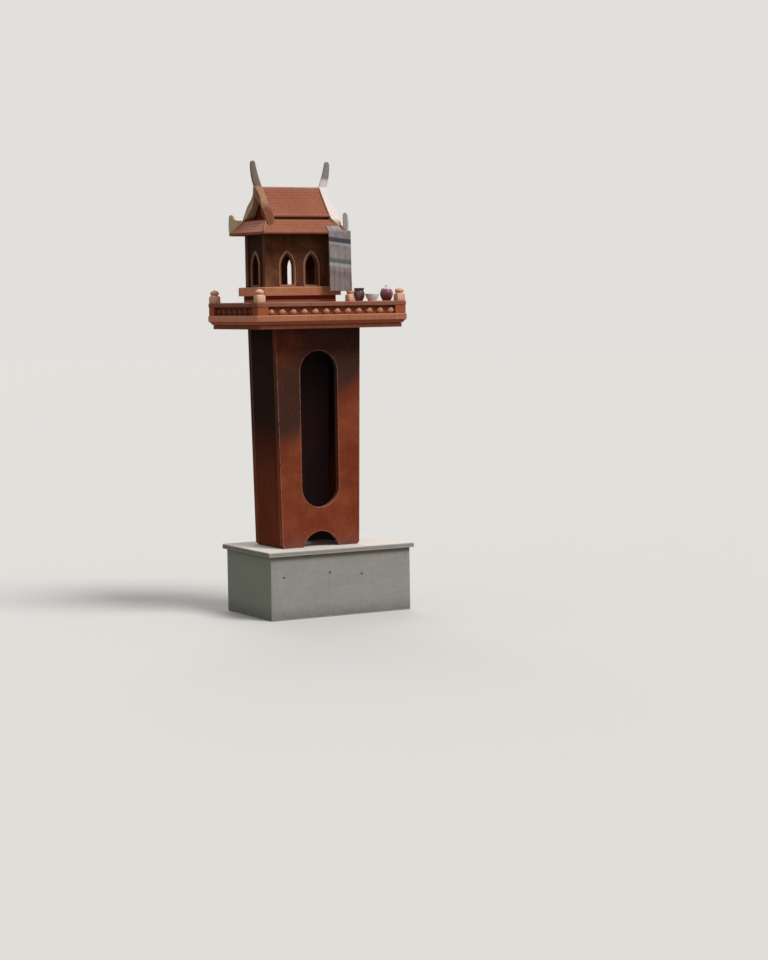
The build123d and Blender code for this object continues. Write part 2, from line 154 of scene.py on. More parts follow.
class ShaderBook:
    """The node tree of one material, written in short calls."""

    def __init__(self, name: str) -> None:
        """Start a material with its principled shader.

        Args:
            name: The material's name.
        """
        self.material = bpy.data.materials.new(name)
        self.material.use_nodes = True
        self.tree = self.material.node_tree
        self.shader = self.tree.nodes["Principled BSDF"]
        self.place = self.node("ShaderNodeTexCoord").outputs["Object"]

    def node(self, kind: str, feeds: dict[int | str, Value] | None = None,
             **settings: Value) -> bpy.types.Node:
        """Add a node.

        Args:
            kind: The node's type.
            feeds: What goes into its sockets, a number, colour or other socket by name or place.
            **settings: Its properties.

        Returns:
            The new node.
        """
        made = self.tree.nodes.new(kind)
        for key, value in settings.items():
            setattr(made, key, value)
        for key, value in (feeds or {}).items():
            self.feed(made.inputs[key], value)
        return made

    def feed(self, socket: Socket, value: Value) -> None:
        """Set a socket to a number or colour, or link another socket into it.

        Args:
            socket: The socket that takes it.
            value: The number, colour, tone or socket.
        """
        if isinstance(value, bpy.types.NodeSocket):
            self.tree.links.new(value, socket)
        elif isinstance(value, Tone):
            socket.default_value = value.linear()
        else:
            socket.default_value = value

    def sum(self, operation: str, first: Value, second: Value = 0.0) -> Socket:
        """Work out one step of arithmetic and give its result."""
        return self.node("ShaderNodeMath", {0: first, 1: second}, operation=operation).outputs[0]

    def cloud(self, cloud: Cloud) -> Socket:
        """Add a cloudy noise.

        Args:
            cloud: What it is like.

        Returns:
            Its value.
        """
        where = self.place
        if cloud.shares:
            scaled = self.node("ShaderNodeVectorMath", {0: where, 1: cloud.shares}, operation="MULTIPLY")
            where = scaled.outputs[0]
        made = self.node("ShaderNodeTexNoise", {
            "Vector": where, "Scale": cloud.cells, "Detail": cloud.layers, "Roughness": cloud.strength,
            "Distortion": cloud.bend,
        })
        return made.outputs["Fac"]

    def step(self, value: Value, low: float, high: float) -> Socket:
        """Turn a value into a soft step from 0 at low to 1 at high."""
        made = self.node("ShaderNodeMapRange", {"Value": value, "From Min": low, "From Max": high},
                         interpolation_type="SMOOTHSTEP")
        return made.outputs["Result"]

    def mix(self, share: Value, first: Value, second: Value) -> Socket:
        """Blend two colours.

        Args:
            share: How much of the second one shows.
            first: One colour.
            second: The other.

        Returns:
            The blend.
        """
        made = self.node("ShaderNodeMix", data_type="RGBA")
        for place, value in ((0, share), (6, first), (7, second)):
            self.feed(made.inputs[place], value)
        return made.outputs[2]

    def lay(self, colour: Value, tone: Value, *shares: Value) -> Socket:
        """Lay a tone over a colour.

        Args:
            colour: What is there.
            tone: What is laid over it.
            *shares: What its strength is the product of.

        Returns:
            The new colour.
        """
        strength = shares[0]
        for share in shares[1:]:
            strength = self.sum("MULTIPLY", strength, share)
        return self.mix(strength, colour, tone)

    def axis(self, name: str) -> Socket:
        """Give the piece's own X, Y or Z coordinate."""
        return self.node("ShaderNodeSeparateXYZ", {0: self.place}).outputs[name]

    def facing(self, axis: str) -> Socket:
        """Tell how far a surface faces along an axis, from -1 to 1."""
        normal = self.node("ShaderNodeNewGeometry").outputs["Normal"]
        return self.node("ShaderNodeSeparateXYZ", {0: normal}).outputs[axis]

    def arris(self, radius: float) -> Socket:
        """Find sharp edges and corners.

        Args:
            radius: How far from the edge it is still felt, in metres.

        Returns:
            0 on a flat face and up to about 0.3 at an edge.
        """
        soft = self.node("ShaderNodeBevel", {"Radius": radius}, samples=4).outputs[0]
        hard = self.node("ShaderNodeNewGeometry").outputs["Normal"]
        agree = self.node("ShaderNodeVectorMath", {0: soft, 1: hard}, operation="DOT_PRODUCT")
        return self.sum("SUBTRACT", 1.0, agree.outputs["Value"])

    def crevice(self, distance: float) -> Socket:
        """Find inner corners and narrow gaps, as 1 deep inside one and 0 in the open."""
        open_sky = self.node("ShaderNodeAmbientOcclusion", {"Distance": distance}, samples=6).outputs["AO"]
        return self.step(open_sky, 0.75, 0.25)

    def bump(self, height: Value, distance: float, below: Socket | None = None) -> Socket:
        """Raise the surface by a height map.

        Args:
            height: The map, from 0 to 1.
            distance: How high 1 stands, in metres.
            below: The normal that this one is laid over.

        Returns:
            The bumped normal.
        """
        made = self.node("ShaderNodeBump", {"Height": height, "Distance": distance, "Strength": 1.0})
        if below is not None:
            self.feed(made.inputs["Normal"], below)
        return made.outputs["Normal"]

    def close(self, colour: Value, roughness: Value, normal: Socket | None = None,
              **sockets: float) -> bpy.types.Material:
        """Feed the principled shader and hand the material over.

        Args:
            colour: The base colour.
            roughness: The roughness.
            normal: The bumped normal.
            **sockets: Other inputs by name, with underscores for spaces.

        Returns:
            The finished material.
        """
        self.feed(self.shader.inputs["Base Color"], colour)
        self.feed(self.shader.inputs["Roughness"], roughness)
        if normal is not None:
            self.feed(self.shader.inputs["Normal"], normal)
        for key, value in sockets.items():
            self.feed(self.shader.inputs[key.replace("_", " ")], value)
        return self.material


class Finish:
    """A surface finish, written once as a material when it is first used."""

    name: str

    def material(self) -> bpy.types.Material:
        """Give the finish's material, making it the first time."""
        return bpy.data.materials.get(self.name) or self.write(ShaderBook(self.name))

    def write(self, book: ShaderBook) -> bpy.types.Material:
        """Write the finish's nodes into a fresh material."""
        raise NotImplementedError


@dataclass(frozen=True)
class MasonryPaint(Finish):
    """Sun-faded masonry paint on cast concrete, with rain streaks, dust, worn arrises, and painted light and
    shade.

    Attributes:
        name: The material's name.
        body: The paint's own colour.
        faded: Where the sun has bleached it.
        grime_and_shade: What rain and damp leave on it, and the tone of the painted shade in its crevices and
            veil.
        worn: The dust on it, and what shows at worn arrises.
        fading: How much of it is faded.
        streaking: How strong its rain streaks are.
        wear: How strong its worn arrises are.
        wear_radius: How wide those are, in metres.
        dusting: How much dust lies on what looks up.
        grain: Height of its finest grain, in metres.
        undulation: Height of its broader unevenness, in metres.
        roughness: How dull it is.
        gloss: Its specular level.
        veil: The levels of a veil of dirt and painted shade, as its start, full, still full and gone.
        veil_tilt: How far the veil rises for each metre along X.
        veil_rag: How ragged the veil's edges are, in metres.
        painted_shade_reach: How far the painted shade inside hollows reaches, in metres, or 0 for none.
        painted_shade_tone: The violet-grey tone of that painted shade.
        rear: The colour of what looks to the rear end, where it differs: painted light and shade on that
            side.
        painted_bounce_beneath: The colour of what looks down, where it differs: painted bounce light under
            ledges.
    """

    name: str
    body: Tone
    faded: Tone
    grime_and_shade: Tone
    worn: Tone
    fading: float = 0.5
    streaking: float = 0.4
    wear: float = 0.8
    wear_radius: float = 0.004
    dusting: float = 0.4
    grain: float = 0.0007
    undulation: float = 0.0018
    roughness: float = 0.88
    gloss: float = 0.12
    veil: tuple[float, ...] = ()
    veil_tilt: float = 0.0
    veil_rag: float = 0.2
    painted_shade_reach: float = 0.0
    painted_shade_tone: Tone = Tone(82, 66, 74)
    rear: Tone | None = None
    painted_bounce_beneath: Tone | None = None

    BROAD = Cloud(5.0, 5.0, 0.6, bend=0.4)
    BLOTCH = Cloud(31.0, 6.0, 0.65)
    GRIT = Cloud(420.0, 3.0, 0.6)
    STREAK = Cloud(9.0, 4.0, 0.6, shares=(5.0, 5.0, 0.55), bend=0.3)
    CHIPS = Cloud(64.0, 5.0, 0.7)
    CREVICE_REACH = 0.03
    CREVICE_STRENGTH = 0.65
    PAINTED_SHADE_STRENGTH = 0.9
    VEIL_STRENGTH = 0.92
    DARKEST_GRIT = 0.84
    GRIT_CONTRAST = 0.32
    DULLNESS_SPAN = 0.12

    def weathered(self, book: ShaderBook, broad: Socket, blotch: Socket) -> Socket:
        """Give the paint as sun and rain have left it, with painted light on what looks to the rear or down.

        Args:
            book: The material's node tree.
            broad: The broadest noise.
            blotch: The middling noise.

        Returns:
            Its colour.
        """
        colour = book.lay(self.body, self.faded, book.step(broad, 0.35, 0.7), self.fading)
        colour = book.lay(colour, self.faded, book.step(blotch, 0.55, 0.75), self.fading)
        # Painted light and shade on the faces that look to the rear end.
        if self.rear:
            colour = book.lay(colour, self.rear, book.step(book.facing("X"), -0.5, -0.85))
        # Painted bounce light on the faces that look down.
        if self.painted_bounce_beneath:
            colour = book.lay(colour, self.painted_bounce_beneath, book.step(book.facing("Z"), -0.3, -0.7))
        return book.lay(colour, self.grime_and_shade, book.step(book.cloud(self.STREAK), 0.5, 0.78), self.streaking)

    def veiled(self, book: ShaderBook, colour: Socket, broad: Socket, blotch: Socket) -> Socket:
        """Lay the veil of dirt and painted shade between its levels.

        Args:
            book: The material's node tree.
            colour: What is there.
            broad: The broadest noise.
            blotch: The middling noise.

        Returns:
            The new colour.
        """
        start, full, still, gone = self.veil
        level = book.sum("SUBTRACT", book.axis("Z"), book.sum("MULTIPLY", book.axis("X"), self.veil_tilt))
        rag = book.sum("MULTIPLY", book.sum("SUBTRACT", broad, 0.5), self.veil_rag)
        ragged = book.sum("ADD", level, rag)
        return book.lay(colour, self.grime_and_shade, book.step(ragged, start, full), book.step(ragged, gone, still),
                        book.step(blotch, 0.10, 0.45), self.VEIL_STRENGTH)

    def write(self, book: ShaderBook) -> bpy.types.Material:
        """Write the paint, from its broad fading to its finest grain.

        Args:
            book: The node tree of the material.

        Returns:
            The material.
        """
        broad, blotch, grit = book.cloud(self.BROAD), book.cloud(self.BLOTCH), book.cloud(self.GRIT)
        colour = self.weathered(book, broad, blotch)
        if self.veil:
            colour = self.veiled(book, colour, broad, blotch)
        # Dirt and painted shade in corners and narrow gaps, where ambient occlusion finds them.
        colour = book.lay(colour, self.grime_and_shade, book.crevice(self.CREVICE_REACH), self.CREVICE_STRENGTH)
        # Painted shade: a violet-grey tone inside hollows, such as the pedestal's inside.
        if self.painted_shade_reach:
            colour = book.lay(colour, self.painted_shade_tone, book.crevice(self.painted_shade_reach), self.PAINTED_SHADE_STRENGTH)
        colour = book.lay(colour, self.worn, book.step(book.facing("Z"), 0.3, 1.0), self.dusting,
                          book.step(blotch, 0.25, 0.6))
        colour = book.lay(colour, self.worn, book.step(book.arris(self.wear_radius), 0.01, 0.10),
                          book.step(book.cloud(self.CHIPS), 0.34, 0.54), self.wear)
        brightness = book.sum("ADD", self.DARKEST_GRIT, book.sum("MULTIPLY", grit, self.GRIT_CONTRAST))
        speck = book.node("ShaderNodeHueSaturation", {"Color": colour, "Value": brightness})
        rough = book.sum("ADD", self.roughness - self.DULLNESS_SPAN / 2,
                         book.sum("MULTIPLY", blotch, self.DULLNESS_SPAN))
        relief = book.bump(grit, self.grain, book.bump(blotch, self.undulation))
        return book.close(speck.outputs[0], rough, relief, Specular_IOR_Level=self.gloss)


@dataclass(frozen=True)
class TrowelledRender(Finish):
    """Pale cement render with trowel sweeps, hairline staining and a few blown pits, painted light on its top
    and rear face, and dirt and painted shade in its corners.

    Attributes:
        name: The material's name.
        body: The render's own colour.
        pale: Where the trowel left it paler, and the painted light on its top.
        stain: What rain leaves on it.
        earth_and_shade: What the ground splashes up, the dirt in its pits, and the dirt and painted shade in
            its corners.
        arris_tone: Its pale edges.
        painted_sky_tint: Painted light: a greenish sky tint on its rear face.
        pits: Where its pits are.
        pit_radius: Their radius in metres.
        splash_height: How high the ground splashes, in metres.
    """

    name: str
    body: Tone
    pale: Tone
    stain: Tone
    earth_and_shade: Tone
    arris_tone: Tone
    painted_sky_tint: Tone
    pits: tuple[tuple[float, float, float], ...] = ()
    pit_radius: float = 0.009
    splash_height: float = 0.16

    SWEEP = Cloud(7.0, 5.0, 0.55, shares=(1.0, 1.0, 2.2), bend=1.2)
    BLOTCH = Cloud(24.0, 6.0, 0.62)
    GRIT = Cloud(520.0, 2.0, 0.6)
    STREAK = Cloud(8.0, 4.0, 0.6, shares=(6.0, 6.0, 0.5))
    RAGGED_SPLASH = 0.1
    CREVICE_REACH = 0.02
    ARRIS_RADIUS = 0.010
    SWEEP_HEIGHT = 0.0008
    BLOTCH_HEIGHT = 0.0012
    GRIT_HEIGHT = 0.0004
    PIT_DEPTH = 0.004

    def pitted(self, book: ShaderBook, blotch: Socket) -> Value:
        """Find the pits, as 1 inside one and 0 elsewhere.

        Args:
            book: The material's node tree.
            blotch: The noise that makes their rims ragged.

        Returns:
            The value.
        """
        dent: Value = 0.0
        for pit in self.pits:
            reach = book.node("ShaderNodeVectorMath", {0: book.place, 1: pit}, operation="DISTANCE")
            ragged = book.sum("MULTIPLY", blotch, self.pit_radius * 0.6)
            wide = book.sum("ADD", reach.outputs["Value"], ragged)
            dent = book.sum("ADD", dent, book.step(wide, self.pit_radius * 1.3, self.pit_radius * 0.8))
        return dent

    def write(self, book: ShaderBook) -> bpy.types.Material:
        """Write the render, its stains and pits.

        Args:
            book: The node tree of the material.

        Returns:
            The material.
        """
        sweep, blotch = book.cloud(self.SWEEP), book.cloud(self.BLOTCH)
        colour = book.lay(self.body, self.pale, book.step(sweep, 0.35, 0.65), 0.4)
        # Painted light: a greenish sky tint on the face that looks to the rear end.
        colour = book.lay(colour, self.painted_sky_tint, book.step(book.facing("X"), -0.4, -0.9),
                          book.step(blotch, 0.2, 0.6))
        colour = book.lay(colour, self.stain, book.step(blotch, 0.52, 0.78), 0.4)
        colour = book.lay(colour, self.stain, book.step(book.cloud(self.STREAK), 0.52, 0.8), 0.35)
        level = book.sum("ADD", book.axis("Z"), book.sum("MULTIPLY", blotch, self.RAGGED_SPLASH))
        colour = book.lay(colour, self.earth_and_shade, book.step(level, self.splash_height, 0.0), 0.6)
        # Dirt and painted shade in corners and joints.
        colour = book.lay(colour, self.earth_and_shade, book.crevice(self.CREVICE_REACH), 0.5)
        # Painted light: the top is paler, as the sky lights it more.
        colour = book.lay(colour, self.pale, book.step(book.facing("Z"), 0.5, 1.0), 0.8)
        colour = book.lay(colour, self.arris_tone, book.step(book.arris(self.ARRIS_RADIUS), 0.02, 0.14))
        dent = self.pitted(book, blotch)
        colour = book.lay(colour, self.earth_and_shade, dent, 0.75)
        relief = book.bump(sweep, self.SWEEP_HEIGHT)
        relief = book.bump(blotch, self.BLOTCH_HEIGHT, relief)
        relief = book.bump(book.cloud(self.GRIT), self.GRIT_HEIGHT, relief)
        relief = book.bump(book.sum("SUBTRACT", 1.0, dent), self.PIT_DEPTH, relief)
        return book.close(colour, 0.88, relief, Specular_IOR_Level=0.25)


@dataclass(frozen=True)
class Band:
    """A woven band: its middle above the hem, half its width, how strong its dye is, and the dye."""

    above_hem: float
    half: float
    strength: float
    dye: Tone


@dataclass(frozen=True)
class Cotton(Finish):
    """Thin washed cotton with woven bands across it.

    Attributes:
        name: The material's name.
        body: Its own colour.
        lit: Where it is crumpled.
        shade: The soil on it.
        bands: Its bands, each woven over the ones before.
        hem_level: The level of its hem, in metres.
        tilt: How far its bands fall for each metre along X.
        thread: The width of two threads, in metres.
    """

    name: str
    body: Tone
    lit: Tone
    shade: Tone
    bands: tuple[Band, ...]
    hem_level: float
    tilt: float = 0.12
    thread: float = 0.0011

    CRUMPLE = Cloud(26.0, 4.0, 0.55, shares=(1.0, 1.0, 0.6), bend=0.6)
    SOIL = Cloud(12.0, 5.0, 0.6)
    SOILED_HEM = 0.2
    WAVY_BANDS = 0.008
    CRUMPLE_HEIGHT = 0.003
    WEAVE_HEIGHT = 0.0003

    def write(self, book: ShaderBook) -> bpy.types.Material:
        """Write the cloth, its bands and its weave.

        Args:
            book: The node tree of the material.

        Returns:
            The material.
        """
        crumple = book.cloud(self.CRUMPLE)
        colour = book.lay(self.body, self.lit, book.step(crumple, 0.35, 0.7))
        low = book.step(book.axis("Z"), self.hem_level + self.SOILED_HEM, self.hem_level)
        colour = book.lay(colour, self.shade, low, 0.6)
        colour = book.lay(colour, self.shade, book.step(book.cloud(self.SOIL), 0.5, 0.75), 0.35)
        level = book.sum("ADD", book.axis("Z"), book.sum("MULTIPLY", book.axis("X"), self.tilt))
        level = book.sum("ADD", level, book.sum("MULTIPLY", crumple, self.WAVY_BANDS))
        for band in self.bands:
            off = book.sum("ABSOLUTE", book.sum("SUBTRACT", level, self.hem_level + band.above_hem))
            edge = book.step(off, band.half * 1.25, band.half * 0.8)
            colour = book.lay(colour, band.dye, edge, band.strength)
        turns = 2 * math.pi / self.thread
        warp = book.sum("SINE", book.sum("MULTIPLY", book.axis("X"), turns))
        weft = book.sum("SINE", book.sum("MULTIPLY", book.axis("Z"), turns))
        weave = book.sum("MULTIPLY", book.sum("ADD", warp, weft), 0.25)
        relief = book.bump(weave, self.WEAVE_HEIGHT, book.bump(crumple, self.CRUMPLE_HEIGHT))
        return book.close(colour, 0.92, relief, Specular_IOR_Level=0.2, Sheen_Weight=0.25,
                          Sheen_Roughness=0.6)


@dataclass(frozen=True)
class Glaze(Finish):
    """Dusty glaze on small earthenware, with a paler run of ash.

    Attributes:
        name: The material's name.
        body: The glaze's own colour.
        deep: Where it pools.
        ash: Its runs of ash, and the dust on it.
        ash_share: How strong those runs are.
        roughness: How dull it is without dust.
    """

    name: str
    body: Tone
    deep: Tone
    ash: Tone
    ash_share: float = 0.3
    roughness: float = 0.34

    POOL = Cloud(45.0, 4.0, 0.6, bend=0.5)
    DUST = Cloud(130.0, 5.0, 0.65)
    RUNS = Cloud(22.0, 3.0, 0.5, shares=(1.0, 1.0, 0.5))
    POOL_HEIGHT = 0.0008
    DUSTY_DULLNESS = 0.3

    def write(self, book: ShaderBook) -> bpy.types.Material:
        """Write the glaze and its dust.

        Args:
            book: The node tree of the material.

        Returns:
            The material.
        """
        pool, dust = book.cloud(self.POOL), book.cloud(self.DUST)
        colour = book.lay(self.deep, self.body, book.step(pool, 0.35, 0.65))
        colour = book.lay(colour, self.ash, book.step(book.cloud(self.RUNS), 0.48, 0.6), self.ash_share)
        colour = book.lay(colour, self.ash, book.step(book.facing("Z"), 0.1, 1.0), 0.45,
                          book.step(dust, 0.3, 0.6))
        dulled = book.sum("MULTIPLY", book.step(dust, 0.4, 0.7), self.DUSTY_DULLNESS)
        rough = book.sum("ADD", self.roughness, dulled)
        return book.close(colour, rough, book.bump(pool, self.POOL_HEIGHT), Specular_IOR_Level=0.5)


@dataclass(frozen=True)
class StudioGround(Finish):
    """The studio floor, pale to the camera and to gloss, and duller in what it throws back."""

    name: str
    seen: Tone
    thrown: Tone

    def write(self, book: ShaderBook) -> bpy.types.Material:
        """Write the floor with its two faces."""
        path = book.node("ShaderNodeLightPath")
        seen = book.sum("MAXIMUM", path.outputs["Is Camera Ray"], path.outputs["Is Glossy Ray"])
        return book.close(book.mix(seen, self.thrown, self.seen), 0.95, Specular_IOR_Level=0.1)


class Paints:
    """The finishes of the house, named as a maker would name them, with painted light and shade named where a
    finish carries it.
    """

    # Its veil from about 1.1 to 1.9 m up is dirt and painted shade below the platform; inside the pedestal
    # lies a violet-grey painted shade.
    BRICK_RED = MasonryPaint(
        "brick_red_masonry_paint", Tone(114, 50, 28), Tone(146, 76, 48), Tone(56, 36, 30),
        Tone(186, 120, 94), fading=0.65, streaking=0.3, wear=1.0, wear_radius=0.009,
        veil=(1.08, 1.27, 1.50, 1.90), veil_tilt=0.7, veil_rag=0.3, painted_shade_reach=0.6,
    )
    # Painted shade: a darker copy of the brick red for the pedestal's end panels, darkest from about 0.74 m
    # up.
    BRICK_RED_SHADED_ENDS = MasonryPaint(
        "brick_red_masonry_paint_in_the_damp", Tone(102, 46, 26), Tone(124, 66, 42), Tone(24, 17, 14),
        Tone(134, 84, 64), streaking=0.5, wear=0.5, gloss=0.05, veil=(0.74, 1.20, 9.0, 10.0), veil_rag=0.3,
    )
    # Painted light: its rear end faces are lighter, and what looks down takes a more saturated painted bounce
    # light.
    TERRACOTTA = MasonryPaint(
        "terracotta_masonry_paint", Tone(168, 104, 76), Tone(188, 130, 102), Tone(112, 60, 40),
        Tone(206, 154, 126), streaking=0.35, rear=Tone(218, 146, 118), painted_bounce_beneath=Tone(206, 116, 82),
    )
    DECK = MasonryPaint(
        "dull_terracotta_on_the_deck", Tone(138, 86, 66), Tone(158, 108, 88), Tone(84, 48, 34),
        Tone(176, 128, 106), streaking=0.35,
    )
    RUSSET = MasonryPaint(
        "russet_masonry_paint", Tone(126, 66, 46), Tone(142, 84, 62), Tone(70, 34, 22), Tone(172, 116, 92),
        streaking=0.4,
    )
    NECK = MasonryPaint(
        "orange_russet_masonry_paint", Tone(162, 83, 49), Tone(174, 100, 66), Tone(104, 50, 28),
        Tone(170, 108, 76),
    )
    RECESS = MasonryPaint(
        "dark_red_masonry_paint", Tone(108, 30, 12), Tone(116, 44, 26), Tone(44, 14, 6), Tone(120, 60, 40),
    )
    FOOT = MasonryPaint(
        "dark_red_masonry_paint_splashed_pale", Tone(108, 30, 12), Tone(116, 44, 26), Tone(176, 116, 96),
        Tone(120, 60, 40), streaking=0.0, veil=(1.0, 1.1, 1.843, 1.849), veil_rag=0.004,
    )
    # Painted highlight: a lighter copy of the terracotta that stands in for the sunlit petals.
    PETAL_PAINTED_HIGHLIGHT = MasonryPaint(
        "pale_terracotta_on_petals", Tone(198, 134, 104), Tone(212, 160, 132), Tone(112, 56, 34),
        Tone(224, 182, 156), wear=0.9, wear_radius=0.003,
    )
    # Painted shade: a darker copy of the petal paint for the course on the rear end.
    PETAL_PAINTED_SHADE = MasonryPaint(
        "russet_on_the_rear_petals", Tone(132, 72, 52), Tone(150, 90, 68), Tone(84, 40, 26),
        Tone(170, 112, 88), wear=0.6, wear_radius=0.003,
    )
    POST = MasonryPaint(
        "blush_cream_on_posts", Tone(216, 162, 136), Tone(230, 188, 162), Tone(140, 92, 70),
        Tone(238, 206, 186), streaking=0.3,
    )
    UMBER = MasonryPaint(
        "umber_wall_paint", Tone(90, 50, 34), Tone(134, 90, 62), Tone(50, 29, 19), Tone(150, 106, 80),
        fading=0.8, streaking=0.6, undulation=0.005,
    )
    # Painted shade: a darker copy of the umber for the rear wall.
    UMBER_PAINTED_SHADE = MasonryPaint(
        "dark_umber_wall_paint", Tone(42, 17, 11), Tone(64, 32, 22), Tone(22, 10, 7), Tone(84, 46, 34),
        fading=0.8, streaking=0.6, undulation=0.005,
    )
    UMBER_PALE = MasonryPaint(
        "pale_umber_on_frames", Tone(164, 118, 96), Tone(182, 138, 116), Tone(92, 54, 38),
        Tone(196, 156, 132),
    )
    TILE = MasonryPaint(
        "faded_terracotta_roof_tiles", Tone(144, 86, 65), Tone(156, 99, 77), Tone(112, 61, 44),
        Tone(168, 114, 92), fading=0.55, streaking=0.4, dusting=0.25, wear=0.3,
    )
    # Painted light: a lighter copy of the tiles for the lower tier's slope that faces the rear end.
    TILE_PAINTED_LIGHT = MasonryPaint(
        "sun_bleached_roof_tiles", Tone(182, 118, 98), Tone(196, 138, 118), Tone(126, 74, 58),
        Tone(204, 150, 130), fading=0.55, streaking=0.4, dusting=0.25, wear=0.3,
    )
    TILE_LIP = MasonryPaint(
        "pale_terracotta_roof_mouldings", Tone(148, 90, 70), Tone(164, 110, 90), Tone(100, 52, 38),
        Tone(180, 128, 108),
    )
    RIDGE = MasonryPaint(
        "pink_terracotta_on_the_ridge", Tone(162, 110, 98), Tone(176, 128, 116), Tone(116, 66, 52),
        Tone(190, 146, 134),
    )
    CREAM = MasonryPaint(
        "weathered_cream_paint", Tone(122, 106, 96), Tone(144, 128, 116), Tone(80, 66, 57),
        Tone(170, 154, 140), streaking=0.6,
    )
    CREAM_BOARD = MasonryPaint(
        "weathered_cream_paint_dark_at_the_foot", Tone(154, 112, 86), Tone(178, 136, 108),
        Tone(104, 58, 38), Tone(188, 150, 124), streaking=0.6, dusting=0.0, veil=(2.0, 2.1, 2.37, 2.43),
        veil_rag=0.05,
    )
    STRAW = MasonryPaint(
        "straw_cream_paint", Tone(206, 180, 148), Tone(222, 200, 168), Tone(140, 108, 80),
        Tone(232, 214, 184), streaking=0.35,
    )
    WHITE = MasonryPaint(
        "soiled_white_paint", Tone(216, 200, 194), Tone(226, 214, 208), Tone(186, 156, 124),
        Tone(232, 222, 216), streaking=0.3, fading=0.7, veil=(1.0, 1.1, 2.30, 2.32), veil_rag=0.02,
        rear=Tone(226, 206, 170),
    )
    GREY = MasonryPaint(
        "greyed_white_paint", Tone(214, 204, 204), Tone(222, 214, 214), Tone(132, 122, 120),
        Tone(186, 174, 168), veil=(2.535, 2.56, 9.0, 10.0), veil_rag=0.02,
    )
    RENDER = TrowelledRender(
        "trowelled_cement_render", Tone(152, 150, 143), Tone(164, 162, 154), Tone(130, 127, 117),
        Tone(74, 70, 58), arris_tone=Tone(206, 204, 194), painted_sky_tint=Tone(150, 158, 142),
        pits=((-0.308, -0.295, 0.246), (-0.010, -0.295, 0.257), (0.201, -0.295, 0.235)),
    )
    RENDER_CAP = TrowelledRender(
        "pale_render_of_the_cap", Tone(202, 196, 188), Tone(218, 212, 204), Tone(156, 150, 140),
        Tone(84, 78, 68), arris_tone=Tone(224, 218, 210), painted_sky_tint=Tone(178, 182, 166), splash_height=-1.0,
    )
    POT = Glaze("brown_pot_glaze", Tone(84, 38, 32), Tone(52, 22, 20), Tone(150, 136, 132), ash_share=0.3)
    DISH = Glaze(
        "white_dish_glaze", Tone(244, 246, 248), Tone(236, 236, 238), Tone(226, 222, 220), ash_share=0.3,
    )
    JAR = Glaze("red_jar_glaze", Tone(126, 52, 66), Tone(90, 36, 48), Tone(160, 124, 134), ash_share=0.25)
    LID = Glaze(
        "mauve_lid_glaze", Tone(206, 178, 188), Tone(180, 146, 158), Tone(214, 200, 202), ash_share=0.3,
    )
    SAND = MasonryPaint(
        "packed_sand", Tone(176, 160, 138), Tone(196, 182, 160), Tone(120, 104, 86), Tone(206, 194, 172),
        dusting=0.0, grain=0.0015,
    )
    STUDIO = StudioGround("studio_floor", Tone(198, 196, 192), Tone(96, 88, 78))
    BACKDROP = Tone(226, 224, 220)


